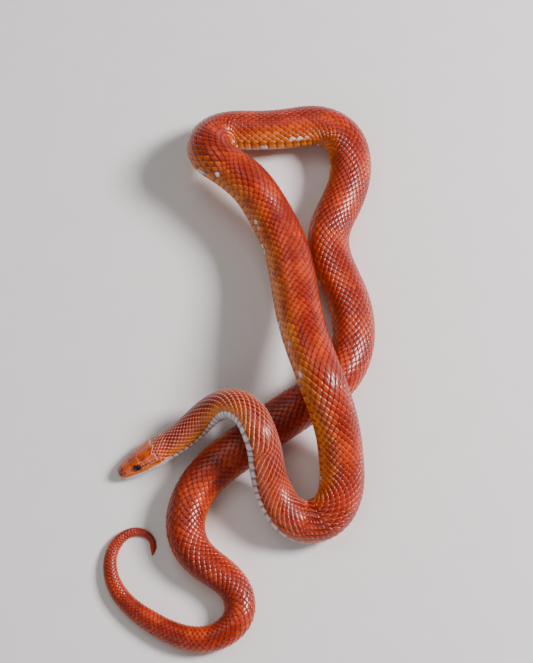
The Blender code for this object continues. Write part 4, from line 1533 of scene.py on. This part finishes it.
@dataclass
class ScaleCoat:
    """Overlapping scales in rows along the body, laid out here and placed by Geometry Nodes.

    Attributes:
        hide: surface that they lie on.
        plates: outlines that they keep clear of on the head.
        edge_deg: angle from the back at which the belly scutes take over.
        lift: height of a scale's free tip over its root.
        rows: number of rows up to each distance.
        stations: place, half width and height of each row of a scale's points.
        first: distance from which scales are laid.
        lip_deg: angle that they keep from the line of the mouth.
        lip_end: distance up to which they keep it.
        least_stretch: stretch of the surface under which a fold has no room for a scale.
        throat_end: distance up to which rows also cover the throat.
        under: way round, in half turns, that a chart spans where they don't.
        seed: start of the random tones.
    """

    hide: Hide
    plates: Sequence[Sequence[tuple[float, float]]]
    edge_deg: float = 115.0
    lift: float = 0.33
    rows: tuple = (
        *((640.0, 27), (700.0, 25), (745.0, 23), (785.0, 21), (822.0, 19), (850.0, 15)),
        *((880.0, 13), (905.0, 11), (930.0, 9), (972.0, 7)),
    )
    stations: tuple = (
        *((-0.62, 0.46, -0.45), (-0.32, 0.80, 0.14), (-0.03, 1.0, 0.54)),
        *((0.21, 0.80, 0.84), (0.42, 0.46, 0.98), (0.54, 0.20, 1.0)),
    )
    first: float = 14.0
    lip_deg: float = 3.5
    lip_end: float = 25.4
    least_stretch: float = 0.14
    throat_end: float = 28.0
    under: float = 0.72
    seed: int = 7

    def local_radius(self, distance: Array) -> Array:
        """Half width that the rows are spread over.

        Args:
            distance: distance from the tip of the snout.

        Returns:
            Half width in millimetres.
        """
        width, top, _ = self.hide.head_size(distance)
        share = ease((distance - 24.0) / 8.0)
        return (0.5 * (width + top)) * (1.0 - share) + self.hide.route.girth(distance) * share

    def layout(self, coat: Coat) -> tuple[Array, Array, Array, Array]:
        """Places of a coat's scales.

        Args:
            coat: the length to fill.

        Returns:
            Distance, signed degrees, pitch and row spacing of each scale.
        """
        fine = np.arange(10.0, self.hide.route.length, 0.25)
        number = np.concatenate([[0.0], np.cumsum(0.25 / scale_pitch(self.hide, fine[:-1]))])
        half_arc = float(self.hide.arc_at(np.array([self.edge_deg]))[0])
        found = []
        low = 0.0
        for high, rows in self.rows:
            half = rows // 2
            spacing = 2.0 * half_arc / rows
            last = int(math.pi / spacing * 0.93) if high < 700.0 else half
            for k in range(-last, last + 1):
                steps = np.arange(0.0, number[-1], 1.0) + (0.5 if k % 2 else 0.0)
                at = np.interp(steps, number, fine, right=np.nan)
                keep = (at >= max(low, coat.start)) & (at < min(high, coat.end))
                if abs(k) > half:
                    keep &= at < self.throat_end
                at = at[keep]
                degrees = self.hide.degrees_at(np.full(len(at), k * spacing))
                gap = spacing * self.local_radius(at)
                found.append(side_by_side(at, degrees, scale_pitch(self.hide, at), gap))
            low = high
        scales = np.concatenate(found)
        scales = scales[self.clear_of_head(scales)]
        scales = scales[self.stretch(scales[:, 0], scales[:, 1]) > self.least_stretch]
        return tuple(scales.T)

    def stretch(self, at: Array, degrees: Array) -> Array:
        """How much a bend draws out the surface, under 1 on its inner side."""
        step = self.hide.point(at + PROBE, degrees) - self.hide.point(at - PROBE, degrees)
        return np.linalg.norm(step, axis=1) / (2.0 * PROBE)

    def clear_of_head(self, found: Array) -> Array:
        """Which scales keep clear of the plates, the mouth and the eyes.

        Args:
            found: distance, degrees, pitch and spacing of each scale.

        Returns:
            True for each scale to keep.
        """
        at, degrees, pitch, _ = found.T
        keep = (at > self.first) & (at < self.hide.route.length - TAIL_SPINE + 0.6)
        mouth = self.hide.mouth_degrees(np.minimum(at, MOUTH_END))
        keep &= (np.abs(np.abs(degrees) - mouth) > self.lip_deg) | (at > self.lip_end)
        for outline in self.plates:
            for shift in (-0.05, 0.15, 0.45):
                keep &= ~inside_outline(at + shift * pitch, degrees, outline)
        return keep

    def leaf(self) -> bpy.types.Object:
        """One scale: root at the front, keel down the middle, free tip at the rear.

        Returns:
            The object that the scales are copies of, about one unit long.
        """
        across = (-1.0, -0.52, 0.0, 0.52, 1.0)
        points, leaf = [], []
        for x, half, z in self.stations:
            for t in across:
                tip = 0.05 * (1.0 - t * t) if x > 0.5 else 0.0
                crown = 0.42 * (1.0 - t * t) + (0.16 if t == 0.0 else 0.0)
                points.append((x + tip, half * t, z + crown))
                leaf.append((x / 0.56, t, 0.0))
        columns = len(across)
        rows = len(self.stations)
        faces = [(a, d, c, b) for a, b, c, d in grid_faces(rows, columns, closed=False)]
        last = (rows - 1) * columns
        border = [i * columns for i in range(rows)] + list(range(last + 1, last + columns))
        border += [i * columns + columns - 1 for i in range(rows - 2, -1, -1)]
        first = len(points)
        for index in border:
            x, y, z = points[index]
            points.append((x * 0.985, y * 0.97, min(z - 0.5, 0.1)))
            leaf.append(leaf[index])
        for n in range(len(border) - 1):
            faces.append((border[n], border[n + 1], first + n + 1, first + n))
        mesh = bpy.data.meshes.new("scale_leaf")
        mesh.from_pydata(points, [], faces)
        mesh.shade_smooth()
        write_attribute(mesh, "leaf", np.array(leaf))
        face_outward(mesh, top_up=True)
        return place_object("scale_leaf", mesh)

    def tree(self) -> bpy.types.NodeTree:
        """Geometry Nodes tree that sets one scale on each point and writes its bake patch.

        Returns:
            The tree, with its inputs named.
        """
        group = bpy.data.node_groups.new("lay_scales", "GeometryNodeTree")
        inputs = (
            *(("Roots", "Geometry"), ("Leaf", "Object"), ("Lift", "Float")),
            *(("Seed", "Int"), ("Finish", "Material")),
        )
        for name, kind in inputs:
            group.interface.new_socket(name, in_out="INPUT", socket_type=f"NodeSocket{kind}")
        group.interface.new_socket("Scales", in_out="OUTPUT", socket_type="NodeSocketGeometry")
        tree = Tree(group)
        start = tree.node("NodeGroupInput").socket.node
        given = {socket.name: Link(tree, socket) for socket in start.outputs if socket.name}
        tone = tree.node("FunctionNodeRandomValue", {"data_type": "FLOAT"},
                         {"Min": 0.0, "Max": 1.0, "Seed": given["Seed"]})
        roots = tree.node("GeometryNodeStoreNamedAttribute", {"data_type": "FLOAT", "domain": "POINT"},
                          {"Geometry": given["Roots"], "Name": "tone", "Value": tone})
        outward, tailward = tree.named("outward"), tree.named("tailward")
        turn = tree.node("FunctionNodeAxesToRotation", {"primary_axis": "Z", "secondary_axis": "X"},
                         {"Primary Axis": outward, "Secondary Axis": tailward})
        size = tree.named("size").vector_math("MULTIPLY", tree.vector(1.0, 1.0, given["Lift"]))
        shape = tree.node("GeometryNodeObjectInfo", {"transform_space": "ORIGINAL"},
                          {"Object": given["Leaf"]}, "Geometry")
        laid = tree.node("GeometryNodeInstanceOnPoints", None,
                         {"Points": roots, "Instance": shape, "Rotation": turn, "Scale": size})
        solid = tree.node("GeometryNodeRealizeInstances", None, {"Geometry": laid})
        _, across, _ = tree.parts(tree.named("leaf"))
        sag = tree.named("sag", "FLOAT")
        drop = tree.node("ShaderNodeVectorMath", {"operation": "SCALE"},
                         {0: tree.named("outward"), "Scale": across * across * sag * -1.0})
        bent = tree.node("GeometryNodeSetPosition", None, {"Geometry": solid, "Offset": drop})
        local = tree.named("leaf").vector_math("MULTIPLY", tree.named("patch"))
        place = local.vector_math("ADD", tree.named("cell"))
        corner = {"data_type": "FLOAT2", "domain": "CORNER"}
        mapped = tree.node("GeometryNodeStoreNamedAttribute", corner,
                           {"Geometry": bent, "Name": BAKE_MAP, "Value": place})
        dressed = tree.node("GeometryNodeSetMaterial", None,
                            {"Geometry": mapped, "Material": given["Finish"]})
        end = group.nodes.new("NodeGroupOutput")
        group.links.new(dressed.socket, end.inputs[0])
        return group

    def roots(self, coat: Coat) -> bpy.types.Object:
        """Points of a coat, each with the directions, sizes and patch of its scale.

        Args:
            coat: length of the body.

        Returns:
            Object whose vertices carry the values.
        """
        at, degrees, pitch, spacing = self.layout(coat)
        depth = 0.40 * np.minimum(1.0, self.hide.route.girth(at) / 7.0) * ease((at - 10.0) / 14.0)
        points = self.hide.point(at, degrees, -depth - 0.02)
        stretch = np.clip(self.stretch(at, degrees), 0.3, 1.2)
        outward, tailward, _ = self.hide.axes(at, degrees)
        mesh = bpy.data.meshes.new(coat.name)
        mesh.from_pydata((points * MM).tolist(), [], [])
        thin = np.clip(spacing / 2.0, 0.2, 1.0) ** 1.5
        write_attribute(mesh, "outward", outward)
        write_attribute(mesh, "tailward", tailward)
        write_attribute(mesh, "size", side_by_side(pitch * stretch * MM, spacing * MM, thin * MM))
        write_attribute(mesh, "sag", 0.5 * spacing**2 / np.maximum(self.local_radius(at), 1.0) * MM)
        write_attribute(mesh, "lie", side_by_side(at, degrees, 0.0))
        reach = 1.0 if coat.start < self.throat_end else self.under
        chart = Unwrap(coat.start - 1.0, coat.end + 1.0, coat.strips, -reach, reach, 0.03)
        grow_u, grow_v = chart.scale()
        arc = self.hide.arc_at(degrees) / self.hide.arc[-1]
        cell = chart.chart(at, arc, chart.strip(at))
        step = spacing / self.local_radius(at) / self.hide.arc[-1]
        write_attribute(mesh, "cell", side_by_side(*cell.T, 0.0))
        write_attribute(mesh, "patch", side_by_side(pitch * grow_u * 0.42, step * grow_v * 0.46, 0.0))
        return place_object(f"{coat.name}_roots", mesh)

    def build(self, coats: Sequence[Coat], material: bpy.types.Material) -> list[bpy.types.Object]:
        """Every length of the coat as its own plain mesh.

        Args:
            coats: lengths of the body.
            material: material of the scales.

        Returns:
            One piece for each length.
        """
        leaf = self.leaf()
        group = self.tree()
        made = []
        for number, coat in enumerate(coats):
            roots = self.roots(coat)
            modifier = roots.modifiers.new("lay_scales", "NODES")
            modifier.node_group = group
            values = {"Leaf": leaf, "Lift": self.lift, "Seed": self.seed + number, "Finish": material}
            for item in group.interface.items_tree:
                if item.name in values:
                    modifier[item.identifier] = values[item.name]
            bpy.context.view_layer.update()
            shown = roots.evaluated_get(bpy.context.evaluated_depsgraph_get())
            mesh = bpy.data.meshes.new_from_object(shown)
            bpy.data.objects.remove(roots)
            made.append(make_piece(coat.name, mesh))
        bpy.data.objects.remove(leaf)
        return made


def keep_off_floor(mesh: bpy.types.Mesh) -> None:
    """Presses whatever dips under the floor flat against it.

    Args:
        mesh: mesh in the floor's frame.
    """
    places = np.zeros(len(mesh.vertices) * 3)
    mesh.vertices.foreach_get("co", places)
    places[2::3] = np.maximum(places[2::3], 0.0)
    mesh.vertices.foreach_set("co", places)
    mesh.update()


def inside_outline(at: Array, degrees: Array, outline: Sequence[tuple[float, float]]) -> Array:
    """Which places lie inside an outline of distances and degrees.

    Args:
        at: distance of each place.
        degrees: signed angle of each place.
        outline: corners of the outline.

    Returns:
        True for each place inside.
    """
    inside = np.zeros(len(at), bool)
    for (x0, y0), (x1, y1) in zip(outline, (*outline[1:], outline[0])):
        crosses = (y0 > degrees) != (y1 > degrees)
        span = y1 - y0 if y1 != y0 else 1e-9
        inside ^= crosses & (at < (x1 - x0) * (degrees - y0) / span + x0)
    return inside


def head_outlines(hide: Hide) -> list[tuple]:
    """Outlines of every plate of the head and the jaw, on both sides.

    Args:
        hide: surface of the head.

    Returns:
        Corners of each plate, as distances and degrees.
    """
    outlines = [FRONTAL_PLATE]
    sides = list(PAIRED_PLATES)
    for front, rear in zip(UPPER_LABIALS, UPPER_LABIALS[1:]):
        off = [(at - EYE_AT) / LABIAL_EYE_REACH for at in (front, rear)]
        tops = [LABIAL_TOP_DEG + LABIAL_UNDER_EYE_DEG * math.exp(-o * o) for o in off]
        low = [float(hide.mouth_degrees(at)) for at in (front, rear)]
        sides.append(((front, tops[0]), (rear, tops[1]), (rear, low[1]), (front, low[0])))
    for front, rear in zip(LOWER_LABIALS, LOWER_LABIALS[1:]):
        top = [float(hide.mouth_degrees(at)) for at in (front, rear)]
        depth = LOWER_LABIAL_DEPTH_DEG
        sides.append(((front, top[0]), (rear, top[1]), (rear, top[1] + depth), (front, top[0] + depth)))
    for outline in sides:
        outlines.append(outline)
        outlines.append(tuple((at, -degrees) for at, degrees in reversed(outline)))
    return outlines


@dataclass
class HeadPlates:
    """Smooth plates of the head and the lips, each domed a little over a rounded rim.

    Attributes:
        hide: surface that they lie on.
        rise: height of a plate over the skin.
        groove: half the gap between neighbours.
        step: distance between points along a rim.
        corner: radius at which the corners are rounded.
        crown: height of a plate's middle, in rises.
        full_reach: half width from which a plate's rim has its full width.
        rim_profile: height, inset and way inward of each ring of the rim.
        dome_profile: height of each ring of the dome, and its share of the way to the middle.
        snout_profile: distance and height of each row of points of the rostral and the mental.
        snout_points: points across them.
    """

    hide: Hide
    rise: float = 0.24
    groove: float = -0.10
    step: float = 0.28
    corner: float = 0.24
    crown: float = 1.22
    full_reach: float = 1.2
    rim_profile: tuple = ((-0.6, 0.02, 0.0), (0.35, 0.0, 0.0), (0.8, 0.07, 0.15), (1.0, 0.2, 0.45))
    dome_profile: tuple = ((1.06, 0.32), (1.12, 0.6), (1.15, 0.84))
    snout_profile: tuple = (
        *((1.22, -0.6), (1.22, 0.4), (1.1, 0.9), (0.8, 1.0)),
        *((0.45, 1.0), (0.15, 1.0), (0.0, 1.0)),
    )
    snout_points: int = 40

    def border(self, outline: Sequence[tuple[float, float]]) -> Array:
        """Points of an outline at even steps, with its corners rounded.

        Args:
            outline: corners as distances and degrees.

        Returns:
            One row for each point.
        """
        corners = np.array(outline, float)
        points = []
        for start, end in zip(corners, np.roll(corners, -1, axis=0)):
            ends = self.hide.point(np.array([start[0], end[0]]), np.array([start[1], end[1]]))
            count = max(2, round(float(np.linalg.norm(ends[1] - ends[0])) / self.step))
            points.extend(start + (end - start) * k / count for k in range(count))
        points = np.array(points)
        weights = np.exp(-0.5 * (np.arange(-3, 4) * self.step / self.corner) ** 2)
        weights /= weights.sum()
        return sum(w * np.roll(points, k, axis=0) for w, k in zip(weights, range(-3, 4)))

    def rings(self, border: Array, middle: Array) -> list[tuple[Array, float, float]]:
        """Rings of points of a plate from under its rim to near its middle.

        Args:
            border: points of its outline.
            middle: its middle, as distance and degrees.

        Returns:
            Places, height and way inward of each ring.
        """
        hide = self.hide
        heart = hide.point(middle[0], middle[1], 0.0)
        way = np.linalg.norm(hide.point(border[:, 0], border[:, 1]) - heart, axis=1)
        small = min(1.0, float(np.mean(way)) / self.full_reach)
        found = []
        for height, inset, inward in self.rim_profile:
            drawn_in = (self.groove + inset * small) * (1.0 / np.maximum(way, 0.2))
            share = np.minimum(drawn_in, 0.6)[:, None]
            found.append((border + (middle - border) * share, height, inward))
        for height, share in self.dome_profile:
            found.append((border + (middle - border) * share, height, 0.5 + 0.5 * share))
        return found

    def add_plate(self, number: int, outline: Sequence[tuple[float, float]], vertices: list,
                  faces: list, lie: list, leaf: list) -> None:
        """Adds one domed plate.

        Args:
            number: its place among the plates.
            outline: its corners as distances and degrees.
            vertices: points so far.
            faces: faces so far.
            lie: places so far.
            leaf: plate values so far.
        """
        border = self.border(outline)
        middle = border.mean(axis=0)
        tone = scattered(number + 3, PLATE_SCATTER)
        count = len(border)
        base = len(vertices)
        rings = self.rings(border, middle)
        for spot, height, inward in rings:
            vertices.extend(self.hide.point(spot[:, 0], spot[:, 1], self.rise * height))
            lie.extend(side_by_side(*spot.T, 0.0))
            leaf.extend([(inward, tone, 0.0)] * count)
        hub = len(vertices)
        vertices.append(self.hide.point(middle[0], middle[1], self.rise * self.crown))
        lie.append((middle[0], middle[1], 0.0))
        leaf.append((1.0, tone, 0.0))
        faces.extend(grid_faces(len(rings), count, base))
        last = base + (len(rings) - 1) * count
        faces.extend((last + k, last + (k + 1) % count, hub) for k in range(count))

    def build(self) -> bpy.types.Mesh:
        """Mesh of every plate, of the rostral and of the mental.

        Returns:
            The mesh.
        """
        vertices, faces, lie, leaf = [], [], [], []
        for number, outline in enumerate(head_outlines(self.hide)):
            self.add_plate(number, outline, vertices, faces, lie, leaf)
        self.add_snout(vertices, faces, lie, leaf)
        mesh = mesh_from(np.array(vertices), faces, "head_plates")
        write_attribute(mesh, "lie", np.array(lie))
        write_attribute(mesh, "leaf", np.array(leaf))
        face_outward(mesh)
        place = np.array(lie)[corner_vertices(mesh)]
        u = (place[:, 0] + 1.0) / 26.5
        write_map(mesh, side_by_side(u, (place[:, 1] + HALF_TURN) / (2.0 * HALF_TURN)))
        return mesh

    def add_snout(self, vertices: list, faces: list, lie: list, leaf: list) -> None:
        """Adds the rostral over the tip of the snout and the mental under it.

        Args:
            vertices: points so far.
            faces: faces so far.
            lie: places so far.
            leaf: plate values so far.
        """
        hide = self.hide
        count = self.snout_points
        mouth = float(hide.mouth_degrees(0.6))
        upper = (-mouth + 3.0, mouth - 3.0, 0.35)
        lower = (mouth + 3.0, 360.0 - mouth - 3.0, 0.8)
        for low, high, tone in (upper, lower):
            turn = np.linspace(low, high, count)
            base = len(vertices)
            for at, height in self.snout_profile:
                local = hide.head_local(np.full(count, at), turn, np.full(count, self.rise * height))
                shrink = 1.0 if at > 0.1 else 0.55
                local[:, 1:] *= shrink
                local[:, 0] -= self.rise * max(0.0, height) * (1.0 if at < 1.0 else 0.0)
                vertices.extend(hide.to_floor(local))
                lie.extend(side_by_side(at, (turn + 180.0) % 360.0 - 180.0, 0.0))
                side = np.minimum(np.abs(turn - low), np.abs(turn - high)) / 12.0
                inward = np.clip(side, 0.0, 1.0) * (0.2 if at > 1.15 else 1.0)
                leaf.extend(side_by_side(inward, tone, 0.0))
            faces.extend(grid_faces(len(self.snout_profile), count, base, closed=False))


@dataclass
class Eyes:
    """Both eyes with the ring of small scales round each.

    Attributes:
        hide: surface of the head.
        segments: faces round an eye.
        rings: faces from its front to its back.
        rim_profile: distance from the eye's middle and height of each row of its ring of scales.
        rim_points: points round that ring.
    """

    hide: Hide
    segments: int = 48
    rings: int = 28
    rim_profile: tuple = (
        *((2.74, -0.35), (2.68, 0.12), (2.5, 0.26)),
        *((2.28, 0.26), (2.12, 0.08), (2.06, -0.5)),
    )
    rim_points: int = 96

    def axes(self, side: float) -> tuple[Array, Array, Array, Array]:
        """Centre, outward, backward and upward directions of an eye in the head's frame.

        Args:
            side: -1 for the left eye, 1 for the right one.

        Returns:
            The centre and three unit vectors.
        """
        tilt = math.radians(EYE_TILT_DEG)
        centre = np.array([EYE_AT, side * EYE_SIDE, EYE_HEIGHT])
        outward = np.array([0.0, side * math.cos(tilt), math.sin(tilt)])
        backward = np.array([1.0, 0.0, 0.0])
        upward = np.array([0.0, -side * math.sin(tilt), math.cos(tilt)])
        return centre, outward, backward, upward

    def eye(self, side: float, name: str) -> bpy.types.Mesh:
        """Flattened ball of one eye, its clear front bulging a little.

        Args:
            side: -1 for the left eye, 1 for the right one.
            name: name of the mesh.

        Returns:
            The mesh.
        """
        centre, outward, backward, upward = self.axes(side)
        polar = np.linspace(0.0, math.pi, self.rings + 1)[:, None]
        turn = np.linspace(0.0, 2.0 * math.pi, self.segments, endpoint=False)[None, :]
        radius = EYE_RADIUS * np.sin(polar)
        depth = EYE_RADIUS * EYE_FLATTENING * np.cos(polar) * np.ones_like(turn)
        spoke = np.cos(turn)[..., None] * backward + np.sin(turn)[..., None] * upward
        spread = radius[..., None] * spoke
        points = centre + spread + depth[..., None] * outward
        faces = grid_faces(self.rings + 1, self.segments)
        mesh = mesh_from(self.hide.to_floor(points.reshape(-1, 3)), faces, name)
        front = np.cos(polar) * np.ones_like(turn) > -0.05
        gaze = np.where(front, radius / EYE_RADIUS * np.ones_like(turn), 1.0)
        angle = np.abs(turn / math.pi - 1.0) * np.ones_like(polar)
        write_attribute(mesh, "gaze", side_by_side(gaze, angle, 0.0).reshape(-1, 3))
        corner = corner_vertices(mesh)
        reach = (polar / math.pi * 0.48 * np.ones_like(turn)).ravel()[corner]
        around = (turn * np.ones_like(polar)).ravel()[corner]
        write_map(mesh, ring_chart(reach, around))
        face_outward(mesh, merge=True)
        return mesh

    def half_width(self, spot: Array) -> Array:
        """Half width of the head at the distance and height of each point.

        Args:
            spot: points in the head's frame.

        Returns:
            Half widths in millimetres.
        """
        width, top, bottom = self.hide.head_size(spot[:, 0])
        height = np.where(spot[:, 2] > 0.0, top, -bottom)
        share = np.clip(np.abs(spot[:, 2]) / height, 0.0, 0.97)
        return width * (1.0 - share**HEAD_SQUARENESS) ** (1.0 / HEAD_SQUARENESS)

    def rim(self, side: float, name: str) -> bpy.types.Mesh:
        """Ring of small scales round an eye, scalloped and rounded over its edge.

        Args:
            side: -1 for the left eye, 1 for the right one.
            name: name of the mesh.

        Returns:
            The mesh.
        """
        centre, _, backward, upward = self.axes(side)
        turn = np.linspace(0.0, 2.0 * math.pi, self.rim_points, endpoint=False)
        spoke = np.cos(turn)[:, None] * backward + np.sin(turn)[:, None] * upward
        notch = 0.10 * np.abs(np.sin(turn * 4.0 + 0.4)) ** 0.35 - 0.06
        rows, leaf, lie = [], [], []
        for number, (radius, rise) in enumerate(self.rim_profile):
            spot = centre + radius * spoke
            lift = rise + (notch if 0 < number < 4 else 0.0)
            spot[:, 1] = side * (self.half_width(spot) + lift)
            rows.append(spot)
            inward = 1.0 if number in (2, 3) else 0.1
            leaf.append(side_by_side(turn * 0.0 + inward, 0.4, 0.0))
            lie.append(side_by_side(spot[:, 0], -side * 70.0, 0.0))
        count = len(turn)
        mesh = mesh_from(self.hide.to_floor(np.concatenate(rows)), grid_faces(len(rows), count), name)
        write_attribute(mesh, "leaf", np.concatenate(leaf))
        write_attribute(mesh, "lie", np.concatenate(lie))
        row = (corner_vertices(mesh) // count) / (len(rows) - 1)
        around = turn[corner_vertices(mesh) % count]
        reach = 0.48 - 0.2 * row
        write_map(mesh, ring_chart(reach, around))
        if side > 0.0:
            mesh.flip_normals()
        return mesh


@dataclass
class Studio:
    """Pale floor, soft lights and the camera at the photograph's angle."""

    tilt_deg: float = VIEW_TILT_DEG
    distance: float = 0.85
    lens: float = 102.5

    def floor(self) -> None:
        """Plain pale floor just under the snake."""
        mesh = bpy.data.meshes.new("floor")
        reach = 3.0
        corners = ((-reach, -reach), (reach, -reach), (reach, reach), (-reach, reach))
        mesh.from_pydata([(x, y, 0.0) for x, y in corners], [], [(0, 1, 2, 3)])
        material, tree = new_material("floor", Gloss(0.7, 0.0, 0.3, 0.3))
        place = tree.node("ShaderNodeTexCoord", None, None, "Object")
        grain = tree.noise(place, 60.0, 3.0)
        finish_material(tree, tree.mix(grain, srgb(222, 220, 216), srgb(228, 226, 223)))
        mesh.materials.append(material)
        make_piece("floor", mesh)

    def light(self, name: str, place: tuple, size: float, power: float, colour: tuple) -> None:
        """Soft square light that looks at the snake.

        Args:
            name: name of the light.
            place: where it stands, in metres.
            size: its width in metres.
            power: its power in watts.
            colour: its colour.
        """
        data = bpy.data.lights.new(name, "AREA")
        data.shape = "SQUARE"
        data.size = size
        data.energy = power
        data.color = colour
        obj = place_object(name, data)
        obj.location = place
        obj.rotation_euler = (-Vector(place)).to_track_quat("-Z", "Y").to_euler()

    def camera(self) -> None:
        """Camera that frames the snake as the photograph does."""
        tilt = math.radians(self.tilt_deg)
        target = Vector((-CENTRE_X * MM, -CENTRE_Y * MM, 0.0))
        away = Vector((0.0, -math.cos(tilt), math.sin(tilt)))
        data = bpy.data.cameras.new("camera")
        data.sensor_fit = "HORIZONTAL"
        data.sensor_width = 36.0
        data.lens = self.lens
        data.clip_start = 0.01
        data.clip_end = 20.0
        obj = place_object("camera", data)
        obj.location = target + away * self.distance
        obj.rotation_euler = (-away).to_track_quat("-Z", "Y").to_euler()
        bpy.context.scene.camera = obj

    def build(self) -> None:
        """Builds the whole studio."""
        self.floor()
        self.light("window", (1.15, 0.25, 0.95), 0.42, 46.0, (1.0, 0.92, 0.97))
        self.light("soft_box", (-0.4, 0.7, 1.6), 1.1, 6.5, (1.0, 0.99, 0.97))
        self.light("fill", (-0.5, -1.2, 1.0), 1.3, 5.0, (1.0, 0.97, 0.95))
        world = bpy.data.worlds.new("world")
        world.use_nodes = True
        world.node_tree.nodes["Background"].inputs["Color"].default_value = (0.93, 0.94, 1.0, 1.0)
        world.node_tree.nodes["Background"].inputs["Strength"].default_value = 0.18
        bpy.context.scene.world = world
        self.camera()


COATS = (
    Coat("scales_neck", 12.0, 200.0, 2),
    Coat("scales_diagonal", 200.0, 420.0, 2),
    Coat("scales_right_run", 420.0, 640.0, 2),
    Coat("scales_hind", 640.0, 970.0, 3),
)


def main() -> None:
    """Builds the snake in order and stages it."""
    logging.basicConfig(level=logging.INFO, format="%(message)s")
    route = Route()
    hide = Hide(route)
    markings = Markings()
    skin = make_piece("skin", Skin(hide).build())
    settle(skin, SkinFinish(markings).material())
    eyes = ("eye_left", "eye_right")
    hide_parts(*(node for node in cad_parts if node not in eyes))
    scale_material = ScaleFinish(markings).material()
    scutes = make_piece("belly_scutes", BellyScutes(hide).build())
    settle(scutes, scale_material)
    coat = ScaleCoat(hide, head_outlines(hide))
    for piece in coat.build(COATS, scale_material):
        settle(piece)
    plate_material = PlateFinish(markings).material()
    plates = make_piece("head_plates", HeadPlates(hide).build())
    settle(plates, plate_material)
    eye_material = EyeFinish().material()
    maker = Eyes(hide)
    for side, name in ((-1.0, "left"), (1.0, "right")):
        eye = make_piece(f"eyeball_{name}", maker.eye(side, f"eyeball_{name}"))
        settle(eye, eye_material)
        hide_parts(f"eye_{name}")
        rim = make_piece(f"eye_rim_{name}", maker.rim(side, f"eye_rim_{name}"))
        settle(rim, plate_material)
    Studio().build()


if __name__ == "__main__":
    main()
